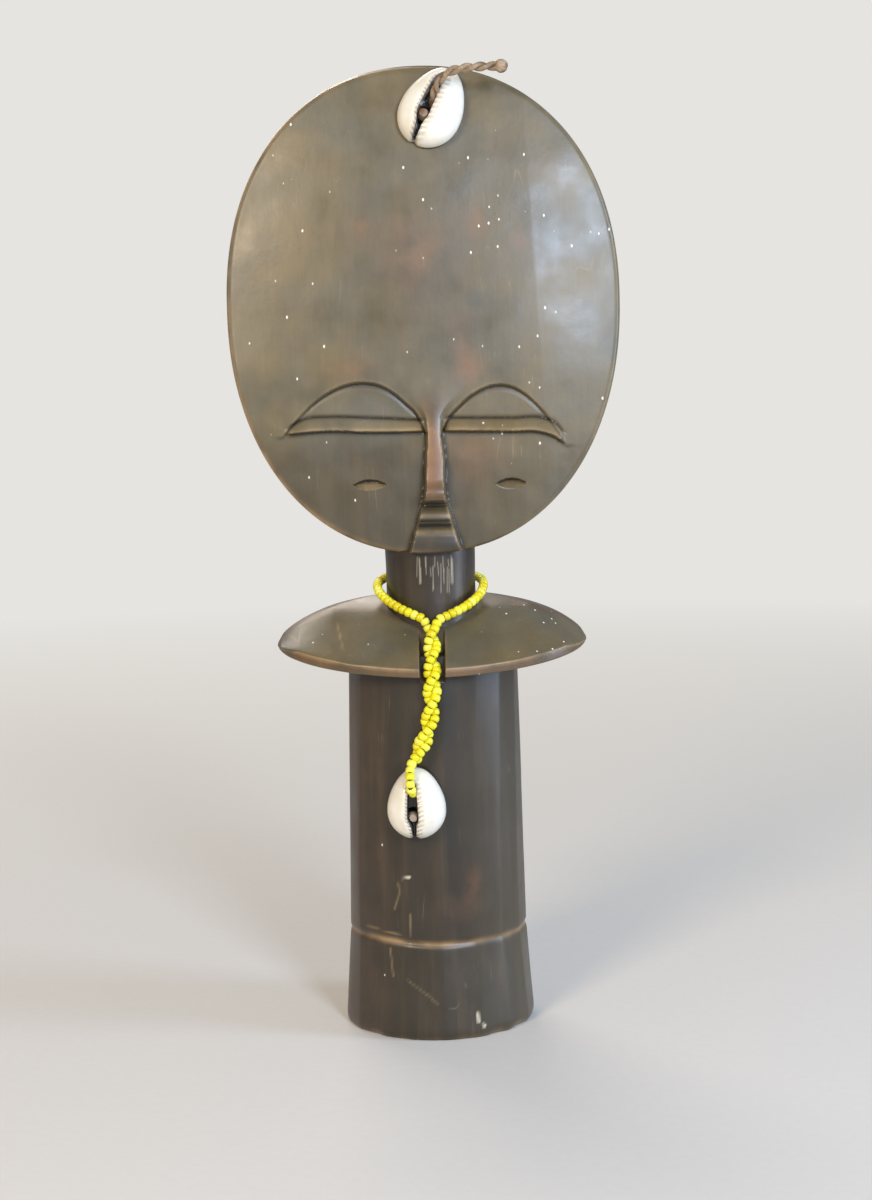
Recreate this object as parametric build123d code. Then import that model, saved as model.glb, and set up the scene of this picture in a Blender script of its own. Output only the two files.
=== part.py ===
"""Carved disc-headed wooden doll with a bead necklace and two cowrie shells.

Millimetres, +Z up.  The origin is the centre of the flat underside that the doll stands on.
The face looks along -Y.  The doll's left hand, as a viewer sees it, is towards -X.

The figure is one block of wood: disc head, neck, shoulder plate and body.  A cowrie is tied
through a drilled hole near the top of the head by a twisted leather thong with a knot at each
end.  One thread of yellow seed beads goes round the neck, its two ends cross at the throat and
twist together down the chest, and they are knotted inside a second cowrie.
"""

from build123d import *

import math
import os

# ---------------------------------------------------------------- driving dimensions, head
TOTAL_HEIGHT = 320.0
CHIN_HEIGHT = 160.5
HEAD_HALF_WIDTH = 64.6
HEAD_LOWER = 83.0
HEAD_CENTRE_X = -0.3
HEAD_MIDDLE_THICKNESS = 13.0
HEAD_LENS_RADIUS = 662.0
HEAD_OUTLINE_POWER = 2.17
HEAD_OUTLINE_STEPS = 24
HEAD_LEAN = 5.0
CHIN_MIDDLE_Y = -9.5
FACE_AXIS_X = 2.3
RECESS_Y = -3.6
BROW_PEAK = 57.0
BROW_INNER = 46.0
BROW_OUTER = 40.0
BROW_PEAK_OUT = 24.0
BROW_OUTER_OUT = 46.5

# ---------------------------------------------------------------- driving dimensions, trunk
NECK_RADIUS = 14.9
NECK_Y = 1.5
PLATE_HALF_LENGTH = 52.0
PLATE_FRONT = 30.0
PLATE_BACK = 18.0
CHANNEL_HALF_WIDTH = 3.9
CHANNEL_FOOT = (-13.4, 137.0)
CHANNEL_MOUTH = (-24.6, 120.5)
BODY_SECTIONS = (
    (0.0, 31.4, 27.8),
    (2.5, 32.1, 28.4),
    (32.0, 29.9, 25.0),
    (113.0, 28.6, 24.0),
    (128.0, 27.0, 20.0),
)
GROOVE_HEIGHT = 32.4
GROOVE_RADIUS = 0.9

# ---------------------------------------------------------------- driving dimensions, stringing
BEAD_DIAMETER = 2.9
BEAD_LENGTH = 1.85
BEAD_HOLE = 1.1
BEAD_ROUNDING = 0.42
THREAD_DIAMETER = 0.6
LOOP_BEAD_PAIRS = 25
UPPER_STRAND_OFFSET = 1.56
LOWER_STRAND_OFFSET = 1.68
TWIST_PITCH = 17.0
TWIST_POINTS_PER_TURN = 8
UPPER_ROWS = 8
LOWER_ROWS = 12
ROW_PITCH = 2.45
END_KNOT_RADIUS = 0.95
TAIL_BEADS = 4
UPPER_PHASE = 20.0
LOWER_PHASE = 100.0
LEFT_TAIL = (
    Vector(-7.9, -31.2, 93.3),
    Vector(-8.0, -33.6, 90.9),
    Vector(-8.0, -34.6, 87.8),
    Vector(-7.6, -33.2, 85.4),
    Vector(-6.8, -30.4, 84.2),
)
RIGHT_TAIL = (
    Vector(-6.3, -25.0, 92.6),
    Vector(-6.6, -24.8, 89.6),
    Vector(-6.9, -26.6, 86.8),
    Vector(-7.3, -29.2, 84.4),
)

# the throat, where the two ends of the thread cross and the pendant is hinged
THROAT = Vector(0.2, -17.2, 138.9)
# the mouth of the channel, where the pendant hangs free
PENDANT_HINGE = Vector(-0.1, -27.9, 121.6)

# ---------------------------------------------------------------- driving dimensions, shells
SHELL_WALL = 1.9
HEAD_SHELL_LENGTH = 27.6
HEAD_SHELL_WIDTH = 20.8
HEAD_SHELL_DEPTH = 8.0
HEAD_SHELL_CENTRE = Vector(4.3, 0.0, 305.0)
HEAD_SHELL_TURN = 26.5
PENDANT_SHELL_LENGTH = 23.7
PENDANT_SHELL_WIDTH = 19.3
PENDANT_SHELL_DEPTH = 8.6
PENDANT_SHELL_CENTRE = Vector(-6.2, -25.8, 80.2)
APERTURE_OFFSET = -1.2
HEAD_APERTURE_WIDTH = 4.3
PENDANT_APERTURE_WIDTH = 3.2
THONG_DIAMETER = 3.1
THONG_HOLE = 3.2
THONG_KNOT_RADIUS = 2.9
THONG_TIP_RADIUS = 2.3

PARTS = "parts"


def save(name, *solids):
    """Write one node as a STEP file, as one solid or as a group of separate solids."""
    shape = solids[0] if len(solids) == 1 else Compound(children=list(solids))
    export_step(shape, f"{PARTS}/{name}.step")
    print(f"{name}: {len(solids)} solid(s), {sum(s.volume for s in solids):.1f} mm3")


# ================================================================ carved figure
def head_frame():
    """Placement of the head: its local X is across, Z up from the chin, -Y the face."""
    return Pos(0, CHIN_MIDDLE_Y, CHIN_HEIGHT) * Rot(X=-HEAD_LEAN)


def head_top():
    """Height of the head above the chin, along its own leaning axis."""
    return (TOTAL_HEIGHT - CHIN_HEIGHT) / math.cos(math.radians(HEAD_LEAN)) - 0.4


def head_disc():
    """Upright oval disc, thick in the middle and thin at the rim, by two shallow domes."""
    upper = head_top() - HEAD_LOWER
    points = []
    for step in range(HEAD_OUTLINE_STEPS):
        angle = 2 * math.pi * step / HEAD_OUTLINE_STEPS
        cosine, sine = math.cos(angle), math.sin(angle)
        half_height = upper if sine > 0 else HEAD_LOWER
        across = math.copysign(abs(cosine) ** (2 / HEAD_OUTLINE_POWER), cosine)
        along = math.copysign(abs(sine) ** (2 / HEAD_OUTLINE_POWER), sine)
        points.append((HEAD_CENTRE_X + HEAD_HALF_WIDTH * across, HEAD_LOWER + half_height * along))
    outline = Plane.XZ * make_face(Spline(*points, periodic=True))
    blank = extrude(outline, amount=HEAD_MIDDLE_THICKNESS, both=True)
    reach = HEAD_LENS_RADIUS - HEAD_MIDDLE_THICKNESS / 2
    front_dome = Pos(HEAD_CENTRE_X, reach, HEAD_LOWER) * Sphere(HEAD_LENS_RADIUS)
    back_dome = Pos(HEAD_CENTRE_X, -reach, HEAD_LOWER) * Sphere(HEAD_LENS_RADIUS)
    return blank & front_dome & back_dome


def eye_recess(side):
    """Hollow under one brow arch, cut flat, that fades out at the lower rim of the disc."""
    nose_top = (side * 2.4, BROW_INNER)
    peak = (side * BROW_PEAK_OUT, BROW_PEAK)
    outer = (side * BROW_OUTER_OUT, BROW_OUTER)
    rise = (side * 10.0, BROW_PEAK - 4.0)
    fall = (side * 38.5, BROW_PEAK - 5.5)
    brow = Spline(nose_top, rise, peak, fall, outer)
    rim = Polyline(outer, (side * 62, 28), (side * 62, -4), (side * 6.5, -4), (side * 4.6, 15), nose_top)
    face = Plane.XZ * make_face(Curve() + [brow, rim])
    return Pos(FACE_AXIS_X, RECESS_Y, 0) * extrude(face, amount=20)


def eyelid(side):
    """Straight closed eyelid: a low roof-shaped bar across the recess."""
    inner, outer, foot, crest = 2.6, 43.5, 2.3, 2.6
    section = Plane.YZ * make_face(Polyline((0.4, -foot), (-crest, -0.3), (0.4, foot), close=True))
    bar = extrude(section, amount=side * (outer - inner))
    return Pos(FACE_AXIS_X + side * inner, RECESS_Y, 42.6) * bar


def nose():
    """Straight nose, narrow at the brow and wide at the tip, undercut below."""
    tip, root = 17.0, 48.0
    profile = Polyline(
        (-3.2, root), (-6.4, root), (-10.6, tip + 1.5), (-9.6, tip), (-3.2, tip), close=True
    )
    blade = extrude(Plane.YZ * make_face(profile), amount=8, both=True)
    front = Polyline((-2.4, root), (-4.4, tip), (4.4, tip), (2.4, root), close=True)
    return Pos(FACE_AXIS_X, 0, 0) * (blade & extrude(Plane.XZ * make_face(front), amount=20))


def mouth_and_chin():
    """Chin block that flares downwards, with a straight mouth slit across it."""
    front = Polyline((-5.4, 14.5), (-8.3, 0.2), (8.3, 0.2), (5.4, 14.5), close=True)
    side = Polyline((-2.0, 14.5), (-4.4, 14.5), (-8.2, 8.0), (-8.4, 0.2), (-2.0, 0.2), close=True)
    chin = extrude(Plane.XZ * make_face(front), amount=20)
    chin = chin & extrude(Plane.YZ * make_face(side), amount=12, both=True)
    slit = Pos(0, -8.4, 9.4) * Box(11.0, 3.2, 1.6)
    return Pos(FACE_AXIS_X, 0, 0) * (chin - slit)


def cheek_cut(across):
    """Short wedge-shaped cut in one cheek."""
    return Pos(across, RECESS_Y, 23.2) * Rot(X=45) * Box(9.6, 1.3, 1.3)


def head():
    """Whole head: disc, eye hollows, eyelids, nose, mouth, chin and cheek cuts."""
    shape = head_disc()
    for side in (-1, 1):
        shape -= eye_recess(side)
    for side in (-1, 1):
        shape += eyelid(side)
    shape += nose()
    shape += mouth_and_chin()
    for across in (-20.1, 27.1):
        shape -= cheek_cut(across)
    return head_frame() * shape


def neck():
    """Round neck that widens into the shoulder plate and slopes off into the back of the head."""
    heights = ((118.0, 16.2), (138.0, 15.2), (150.0, NECK_RADIUS), (168.0, 15.2))
    sections = [Pos(0, NECK_Y, height) * Circle(radius) for height, radius in heights]
    column = loft(sections, ruled=True)
    side = Polyline((-8, 110), (20, 110), (20, 152), (-1, 170), (-8, 170), close=True)
    under_chin = Polyline((-20, 110), (-8, 110), (-8, 170), (-10, 161.5), (-20, 161.5), close=True)
    keep = Plane.YZ * (make_face(side) + make_face(under_chin))
    return column & extrude(keep, amount=30, both=True)


def shoulder_plate():
    """Flat arms in one plate: a front outline, a plan and a side profile, all three crossed."""
    half = PLATE_HALF_LENGTH
    top = Spline((half, 131.0), (46.0, 138.3), (35.0, 142.3), (18.0, 146.5))
    bridge = Line((18.0, 146.5), (-18.0, 146.5))
    top_mirror = Spline((-18.0, 146.5), (-35.0, 142.3), (-46.0, 138.3), (-half, 131.0))
    below = Spline(
        (-half, 131.0), (-47.5, 126.4), (-27.0, 123.4), (0.0, 121.4),
        (27.0, 123.4), (47.5, 126.4), (half, 131.0),
    )
    front_view = make_face(Curve() + [top, bridge, top_mirror, below])
    bar = extrude(Plane.XZ * front_view, amount=40, both=True)

    front = Spline(
        (-half, 1.0), (-45.0, -14.0), (-27.0, -26.0), (0.0, -PLATE_FRONT),
        (27.0, -26.0), (45.0, -14.0), (half, 1.0),
    )
    shoulder = PLATE_BACK - 1.5
    back = Spline(
        (half, 1.0), (44.0, 9.5), (22.0, shoulder), (0.0, PLATE_BACK),
        (-22.0, shoulder), (-44.0, 9.5), (-half, 1.0),
    )
    plan = Pos(0, 0, 100) * extrude(make_face(Curve() + [front, back]), amount=80)

    wedge = Polyline(
        (-34, 118.0), (-34, 122.3), (-6, 141.0), (14.0, 146.0), (22, 138.0), (18, 133.0), (-12, 121.0), close=True
    )
    profile = extrude(Plane.YZ * make_face(wedge), amount=60, both=True)
    return bar & plan & profile


def channel():
    """Steep channel down the front of the plate, between the arms, where the beads lie."""
    (foot_y, foot_z), (mouth_y, mouth_z) = CHANNEL_FOOT, CHANNEL_MOUTH
    side = Polyline(
        (foot_y, 152), (foot_y, foot_z), (mouth_y, mouth_z), (-40, mouth_z), (-40, 152), close=True
    )
    return extrude(Plane.YZ * make_face(side), amount=CHANNEL_HALF_WIDTH, both=True)


def body():
    """Oval trunk that spreads slightly to the foot, with one incised ring above the base."""
    sections = [Pos(0, 0, height) * Ellipse(across, deep) for height, across, deep in BODY_SECTIONS]
    trunk = loft(sections, ruled=True)
    ring_path = Pos(0, 0, GROOVE_HEIGHT) * Ellipse(30.1, 25.2).edge()
    ring_start = Plane(ring_path @ 0, z_dir=ring_path % 0)
    return trunk - sweep(ring_start * Circle(GROOVE_RADIUS), path=ring_path)


def shell_front_frame():
    """Placement of the head cowrie: its flat back lies on the front of the head disc."""
    up_the_head = (HEAD_SHELL_CENTRE.Z - CHIN_HEIGHT) / math.cos(math.radians(HEAD_LEAN))
    above_middle = up_the_head - HEAD_LOWER
    slope = math.degrees(math.asin(above_middle / HEAD_LENS_RADIUS))
    dome_drop = HEAD_LENS_RADIUS * (1 - math.cos(math.radians(slope)))
    surface = HEAD_MIDDLE_THICKNESS / 2 - dome_drop
    clearance = 0.35
    local = Pos(HEAD_SHELL_CENTRE.X, -surface - clearance, up_the_head) * Rot(X=-slope)
    return head_frame() * local


def thong_hole():
    """Drilled hole through the head disc, square to its front."""
    return shell_front_frame() * (Rot(X=90) * Cylinder(THONG_HOLE / 2, 60))


def carved_figure():
    """The whole carving as one solid."""
    shape = body() + shoulder_plate() + neck() + head()
    return (shape - channel() - thong_hole()).solid()


# ================================================================ cowrie shells
def cowrie(length, width, depth, aperture):
    """Cowrie with its back ground off: a hollow half egg, narrow end up, slit in front.

    Its long axis is local Z, its flat open back is the plane Y = 0 and its slit faces -Y.
    """
    widest = -0.10 * length

    def egg(shrink):
        """Whole egg, pointed upwards, reduced all round by a wall thickness."""
        half = length / 2 - shrink
        radius = width / 2 - shrink
        ends = ((1, 0.12), (0, 1), (-1, 0.35))
        right = Spline((0, -half), (radius, widest), (0, half), tangents=ends)
        section = Plane.XZ * make_face(Curve() + [right, Line((0, half), (0, -half))])
        return revolve(section, axis=Axis.Z, revolution_arc=360)

    slit = Pos(APERTURE_OFFSET, -width, -0.5) * Box(aperture, 2 * width, length * 0.74)
    ground_off = Pos(0, width, 0) * Box(4 * width, 2 * width, 4 * width)
    half_shell = (egg(0) - egg(SHELL_WALL) - slit - ground_off).solid()
    return scale(half_shell, by=(1, 2 * depth / width, 1))


def head_cowrie():
    """Cowrie tied in front of the forehead, its upper end leaning to the right."""
    shell = cowrie(HEAD_SHELL_LENGTH, HEAD_SHELL_WIDTH, HEAD_SHELL_DEPTH, HEAD_APERTURE_WIDTH)
    return shell_front_frame() * Rot(Y=HEAD_SHELL_TURN) * shell


def pendant_cowrie():
    """Cowrie that hangs on the chest, its narrow end up."""
    shell = cowrie(
        PENDANT_SHELL_LENGTH, PENDANT_SHELL_WIDTH, PENDANT_SHELL_DEPTH, PENDANT_APERTURE_WIDTH
    )
    return Pos(*PENDANT_SHELL_CENTRE) * shell


# ================================================================ threads and thong
def cord_path(points):
    """Straight runs joined by tangent arcs, each arc as large as its two runs allow."""
    vectors = [Vector(*point) for point in points]
    radii = []
    for before, corner, after in zip(vectors, vectors[1:], vectors[2:]):
        run_in, run_out = corner - before, after - corner
        turn = math.radians(run_in.get_angle(run_out))
        radii.append(0.45 * min(run_in.length, run_out.length) / math.tan(turn / 2))
    print(f"  radii {min(radii):.1f} to {max(radii):.1f} mm over {len(radii)} arcs")
    return FilletPolyline(*vectors, radius=radii)


def tube(path, diameter):
    """Round tube along a path, checked against its section times its length."""
    start = Plane(path @ 0, z_dir=path % 0)
    shape = sweep(start * Circle(diameter / 2), path=path).solid()
    expected = math.pi * diameter ** 2 / 4 * path.length
    print(f"  length {path.length:.1f} mm, volume {shape.volume:.2f} of {expected:.2f} mm3")
    return shape


def loop_route():
    """Thread round the neck, from one side of the throat to the other, low at the front."""
    return (
        (-2.6, -17.0, 139.6), (-9.0, -14.8, 142.1), (-14.6, -9.8, 145.0), (-17.7, -3.0, 147.6),
        (-18.1, 4.6, 149.4), (-15.4, 12.0, 150.4), (-9.6, 17.6, 150.9), (-1.8, 19.9, 150.7),
        (6.2, 19.3, 150.8), (13.0, 15.0, 150.5), (17.2, 8.2, 149.9), (18.0, 0.4, 148.4),
        (16.2, -7.2, 145.8), (11.4, -13.4, 142.8), (5.0, -17.2, 140.4), (2.0, -18.3, 139.3),
    )


def upper_axis():
    """Middle line of the twisted pendant in the channel, from the throat to its hinge."""
    return (THROAT + Vector(0, -0.6, -1.6), PENDANT_HINGE + Vector(0, 0.2, 0.5))


def lower_axis():
    """Middle line of the twisted pendant below the channel, swinging out to the left."""
    return (
        PENDANT_HINGE + Vector(0, 0.1, -0.6), Vector(-0.4, -28.5, 114.5), Vector(-0.9, -28.6, 109.5),
        Vector(-2.0, -28.7, 104.6), Vector(-3.9, -28.8, 99.8), Vector(-5.9, -28.9, 96.0),
    )


def strand(axis_points, side, phase, offset_radius):
    """One of two strands twisted round a middle line, as points worked out by a loop."""
    lengths = [0.0]
    for start, end in zip(axis_points, axis_points[1:]):
        lengths.append(lengths[-1] + (end - start).length)
    count = max(3, round(lengths[-1] / TWIST_PITCH * TWIST_POINTS_PER_TURN))
    points = []
    for step in range(count + 1):
        along = lengths[-1] * step / count
        span = next(i for i in range(len(axis_points) - 1) if along <= lengths[i + 1] + 1e-9)
        start, end = axis_points[span], axis_points[span + 1]
        direction = (end - start).normalized()
        centre = start + direction * (along - lengths[span])
        across = Vector(1, 0, 0)
        outward = direction.cross(across).normalized()
        angle = math.radians(phase) + 2 * math.pi * along / TWIST_PITCH
        offset = across * math.cos(angle) + outward * math.sin(angle)
        points.append(centre + offset * (side * offset_radius))
    return points


def seed_bead():
    """Glass seed bead: a short rounded ring round its local Z."""
    outer, inner, half = BEAD_DIAMETER / 2, BEAD_HOLE / 2, BEAD_LENGTH / 2
    profile = Pos((outer + inner) / 2, 0) * RectangleRounded(outer - inner, 2 * half, BEAD_ROUNDING)
    return revolve(Plane.XZ * profile, axis=Axis.Z, revolution_arc=360).solid()


def bead_on(path, along):
    """Seed bead threaded on a path at a distance from its start."""
    share = along / path.length
    return Plane(path @ share, z_dir=path % share) * seed_bead()


def thong_route():
    """Thong from its back knot through the head and the shell, out to its knotted tip."""
    frame = shell_front_frame()
    inside = [frame * Pos(*point) for point in (
        (0.0, 13.6, 0.0), (0.0, -2.2, 0.0), (0.7, -6.4, 3.6), (2.4, -10.0, 6.6),
        (6.6, -11.8, 8.6), (12.0, -12.0, 9.2), (17.4, -11.9, 9.5), (22.0, -11.7, 9.5),
    )]
    return [place.position for place in inside]


def knot(centre, radius, squash=0.8):
    """Tight knot, drawn as a slightly flattened ball."""
    return Pos(*centre) * scale(Sphere(radius), by=(1, squash, 1)).solid()


def main():
    """Build every sub-part and write it to its own file."""
    os.makedirs(PARTS, exist_ok=True)
    save("carved_figure", carved_figure())

    save("head_cowrie", head_cowrie())
    route = thong_route()
    thong = cord_path(route)
    save("head_thong", tube(thong, THONG_DIAMETER))
    save("thong_back_knot", knot(route[0], THONG_KNOT_RADIUS))
    save("thong_tip_knot", knot(route[-1], THONG_TIP_RADIUS, 1.0))

    loop = cord_path(loop_route())
    save("neck_thread", tube(loop, THREAD_DIAMETER))
    pitch = loop.length / (2 * LOOP_BEAD_PAIRS)
    print(f"  neck beads every {pitch:.2f} mm")
    for pair in range(LOOP_BEAD_PAIRS):
        beads = [bead_on(loop, pitch * (2 * pair + 0.5 + place)) for place in (0, 1)]
        save(f"neck_beads_{pair + 1:02d}", *beads)

    upper = [
        cord_path(strand(upper_axis(), side, UPPER_PHASE, UPPER_STRAND_OFFSET)) for side in (-1, 1)
    ]
    save("throat_threads", *[tube(path, THREAD_DIAMETER) for path in upper])
    for row in range(UPPER_ROWS):
        along = ROW_PITCH * (row + 0.5)
        save(f"throat_row_{row + 1:02d}", *[bead_on(path, along) for path in upper])

    left_twist = strand(lower_axis(), -1, LOWER_PHASE, LOWER_STRAND_OFFSET)
    right_twist = strand(lower_axis(), 1, LOWER_PHASE, LOWER_STRAND_OFFSET)
    left = cord_path(left_twist + list(LEFT_TAIL))
    right = cord_path(right_twist + list(RIGHT_TAIL))
    save("left_thread", tube(left, THREAD_DIAMETER))
    save("right_thread", tube(right, THREAD_DIAMETER))
    for row in range(LOWER_ROWS):
        along = ROW_PITCH * (row + 0.5)
        save(f"pendant_row_{row + 1:02d}", bead_on(left, along), bead_on(right, along))
    for bead in range(TAIL_BEADS):
        save(f"tail_bead_{bead + 1}", bead_on(left, ROW_PITCH * (LOWER_ROWS + bead + 0.5)))
    save("end_knot", knot((LEFT_TAIL[-1] + RIGHT_TAIL[-1]) / 2, END_KNOT_RADIUS))
    save("pendant_cowrie", pendant_cowrie())


if __name__ == "__main__":
    main()
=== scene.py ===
"""Looks of a carved disc-headed doll with a seed-bead necklace and two cowries.

Every length below is in millimetres in the model's own frame (+Z up, the face towards -Y) and
turns into metres when a mesh is made.
"""

import logging
import math
from dataclasses import dataclass
from enum import Enum

import bpy
import numpy as np
from mathutils import Matrix, Vector

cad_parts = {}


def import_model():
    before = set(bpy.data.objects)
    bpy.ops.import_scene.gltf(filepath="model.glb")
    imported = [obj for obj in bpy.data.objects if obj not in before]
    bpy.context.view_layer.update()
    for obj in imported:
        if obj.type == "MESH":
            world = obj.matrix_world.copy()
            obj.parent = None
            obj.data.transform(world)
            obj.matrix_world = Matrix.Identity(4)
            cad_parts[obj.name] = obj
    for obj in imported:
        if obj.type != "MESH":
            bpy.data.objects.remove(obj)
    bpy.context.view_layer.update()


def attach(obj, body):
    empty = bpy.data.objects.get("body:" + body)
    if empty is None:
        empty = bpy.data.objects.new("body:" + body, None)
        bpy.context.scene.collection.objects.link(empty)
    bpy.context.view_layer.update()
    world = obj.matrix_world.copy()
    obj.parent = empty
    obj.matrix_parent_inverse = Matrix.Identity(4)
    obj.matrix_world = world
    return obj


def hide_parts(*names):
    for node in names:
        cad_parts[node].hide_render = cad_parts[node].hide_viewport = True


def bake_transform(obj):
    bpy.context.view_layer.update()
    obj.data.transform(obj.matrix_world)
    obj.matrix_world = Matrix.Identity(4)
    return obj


log = logging.getLogger("doll")
MM = 0.001
HEAD_LEAN = math.radians(5.0)
HEAD_ORIGIN = np.array((0.0, -9.5, 160.5))


class Slot(Enum):
    """Material slots of the record."""

    WOOD = "blackened_wood"
    SHELL = "cowrie_shell"
    HIDE = "twisted_hide"
    THREAD = "cotton_thread"
    BEAD = "yellow_seed_bead"


# ------------------------------------------------------------------ small numerical helpers
def smooth(low: float, high: float, value: np.ndarray) -> np.ndarray:
    """Smooth step: 0 below low, 1 above high, 3t^2 - 2t^3 between; low may be above high.

    Args:
        low: value at which the step is 0.
        high: value at which the step is 1.
        value: where to work it out.
    Returns:
        The step, 0 to 1.
    """
    t = np.clip((value - low) / (high - low), 0.0, 1.0)
    return t * t * (3.0 - 2.0 * t)


def through(knots: tuple, value: np.ndarray) -> np.ndarray:
    """Smooth curve through (position, height) knots: cubic Hermite with finite-difference slopes.

    Args:
        knots: pairs in rising order of position.
        value: positions to work out.
    Returns:
        Heights, held at the end values outside the knots.
    """
    x, y = np.array(knots, float).T
    slope = np.gradient(y, x)
    v = np.clip(value, x[0], x[-1])
    i = np.clip(np.searchsorted(x, v, side="right") - 1, 0, len(x) - 2)
    h = x[i + 1] - x[i]
    t = (v - x[i]) / h
    return (
        (2 * t**3 - 3 * t**2 + 1) * y[i]
        + (t**3 - 2 * t**2 + t) * h * slope[i]
        + (3 * t**2 - 2 * t**3) * y[i + 1]
        + (t**3 - t**2) * h * slope[i + 1]
    )


def spot(x: np.ndarray, z: np.ndarray, cx: float, cz: float, rx: float, rz: float) -> np.ndarray:
    """Soft oval spot, exp(-(dx/rx)^2 - (dz/rz)^2)."""
    return np.exp(-(((x - cx) / rx) ** 2) - ((z - cz) / rz) ** 2)


def stroke(x: np.ndarray, z: np.ndarray, start: tuple, end: tuple, half: float) -> np.ndarray:
    """Soft straight stroke from start to end, 1 on its line and 0 at half a width away.

    Args:
        x, z: where to work it out.
        start, end: (x, z) of its ends.
        half: half its width.
    Returns:
        The stroke, 0 to 1.
    """
    s, e = np.array(start, float), np.array(end, float)
    d = e - s
    t = np.clip(((x - s[0]) * d[0] + (z - s[1]) * d[1]) / (d @ d), 0, 1)
    away = np.hypot(x - s[0] - t * d[0], z - s[1] - t * d[1])
    return 1 - smooth(0.0, half, away)


def ripple(x: np.ndarray, z: np.ndarray, size: float, seed: int) -> np.ndarray:
    """Hand-carved unevenness: a sum of eight sine waves in seeded directions, about -1 to 1.

    Args:
        x, z: where to work it out.
        size: middle wavelength.
        seed: seed of the directions.
    Returns:
        The unevenness.
    """
    rng = np.random.default_rng(seed)
    total = np.zeros_like(x)
    for _ in range(8):
        angle, phase = rng.uniform(0, 2 * math.pi, 2)
        length = size * rng.uniform(0.7, 1.6)
        total += np.sin(2 * math.pi * (x * math.cos(angle) + z * math.sin(angle)) / length + phase)
    return total / 4.0


# ------------------------------------------------------------------ meshes
def make_mesh(
    name: str, points: np.ndarray, faces: list, attributes: dict, sharp: float = 35.0
) -> bpy.types.Object:
    """Closed mesh object at the origin, its faces turned outwards by the sign of its volume.

    Args:
        name: object name.
        points: (n, 3) vertices in millimetres.
        faces: list of (m, k) index arrays, k = 3 or 4.
        attributes: name to (n,) float values.
        sharp: edges steeper than this many degrees stay sharp.
    Returns:
        The linked object.
    """
    volume = 0.0
    for block in faces:
        a = points[block[:, 0]]
        for k in range(1, block.shape[1] - 1):
            b, c = points[block[:, k]], points[block[:, k + 1]]
            volume += float(np.einsum("ij,ij->", a, np.cross(b, c)))
    if volume < 0:
        faces = [block[:, ::-1] for block in faces]
    mesh = bpy.data.meshes.new(name)
    mesh.from_pydata((points * MM).tolist(), [], [f for block in faces for f in block.tolist()])
    for key, values in attributes.items():
        layer = mesh.attributes.new(key, "FLOAT", "POINT")
        layer.data.foreach_set("value", np.asarray(values, np.float32).ravel())
    mesh.shade_smooth()
    mesh.set_sharp_from_angle(angle=math.radians(sharp))
    mesh.validate()
    obj = bpy.data.objects.new(name, mesh)
    bpy.context.scene.collection.objects.link(obj)
    return obj


def quads(rows: int, columns: int, wrap: bool) -> np.ndarray:
    """Quads of a grid whose vertex (i, j) has index i * columns + j.

    Args:
        rows: number of rows.
        columns: vertices in a row.
        wrap: whether the last column joins the first.
    Returns:
        (n, 4) indices.
    """
    i = np.arange(rows - 1)[:, None]
    j = np.arange(columns if wrap else columns - 1)[None, :]
    k = (j + 1) % columns
    corners = (i * columns + j, i * columns + k, (i + 1) * columns + k, (i + 1) * columns + j)
    return np.stack(np.broadcast_arrays(*corners), -1).reshape(-1, 4)


def fan(ring: np.ndarray, centre: int, first: bool) -> np.ndarray:
    """Triangles that close a ring of vertex indices with a centre vertex.

    Args:
        ring: indices once round.
        centre: index of the centre vertex.
        first: whether this is the first end of a tube, whose triangles face the other way.
    Returns:
        (n, 3) indices.
    """
    after = np.roll(ring, -1)
    middle = np.full_like(ring, centre)
    return np.stack((after, ring, middle) if first else (ring, after, middle), -1)


def outline(rows: int, columns: int) -> np.ndarray:
    """Indices once round the edge of a grid whose vertex (i, j) has index i * columns + j."""
    index = np.arange(rows * columns).reshape(rows, columns)
    return np.concatenate((index[0, :-1], index[:-1, -1], index[-1, :0:-1], index[:0:-1, 0]))


def backed_faces(rows: int, columns: int, rings: int) -> list:
    """Faces of a front grid closed behind by rings that shrink from its outline to a middle point.

    Args:
        rows: rows of the front grid.
        columns: vertices in a row.
        rings: number of rings behind.
    Returns:
        Blocks of faces, for vertices in the order grid, rings, middle point.
    """
    loop = outline(rows, columns)
    count, base = len(loop), rows * columns
    hoops = np.concatenate([loop[None]] + [np.arange(count)[None] + base + k * count for k in range(rings)])
    after = np.roll(hoops, -1, axis=1)
    wall = np.stack((hoops[:-1], hoops[1:], after[1:], after[:-1]), -1).reshape(-1, 4)
    return [quads(rows, columns, False), wall, fan(hoops[-1], base + rings * count, False)]


def closed_tube(
    name: str, grid: np.ndarray, attributes: dict | None = None, sharp: float = 35.0
) -> bpy.types.Object:
    """Closed surface from rings of points, each end closed by a fan round its mean point.

    Args:
        name: object name.
        grid: (rings, points, 3) in millimetres.
        attributes: name to (rings, points) values.
        sharp: sharp edge angle in degrees.
    Returns:
        The object.
    """
    rows, columns = grid.shape[:2]
    points = np.concatenate((grid.reshape(-1, 3), [grid[0].mean(0)], [grid[-1].mean(0)]))
    total = rows * columns
    faces = [
        quads(rows, columns, True),
        fan(np.arange(columns), total, True),
        fan(np.arange(columns) + (rows - 1) * columns, total + 1, False),
    ]
    carried = {
        key: np.concatenate((v.ravel(), [v[0].mean()], [v[-1].mean()]))
        for key, v in (attributes or {}).items()
    }
    return make_mesh(name, points, faces, carried, sharp)


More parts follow.
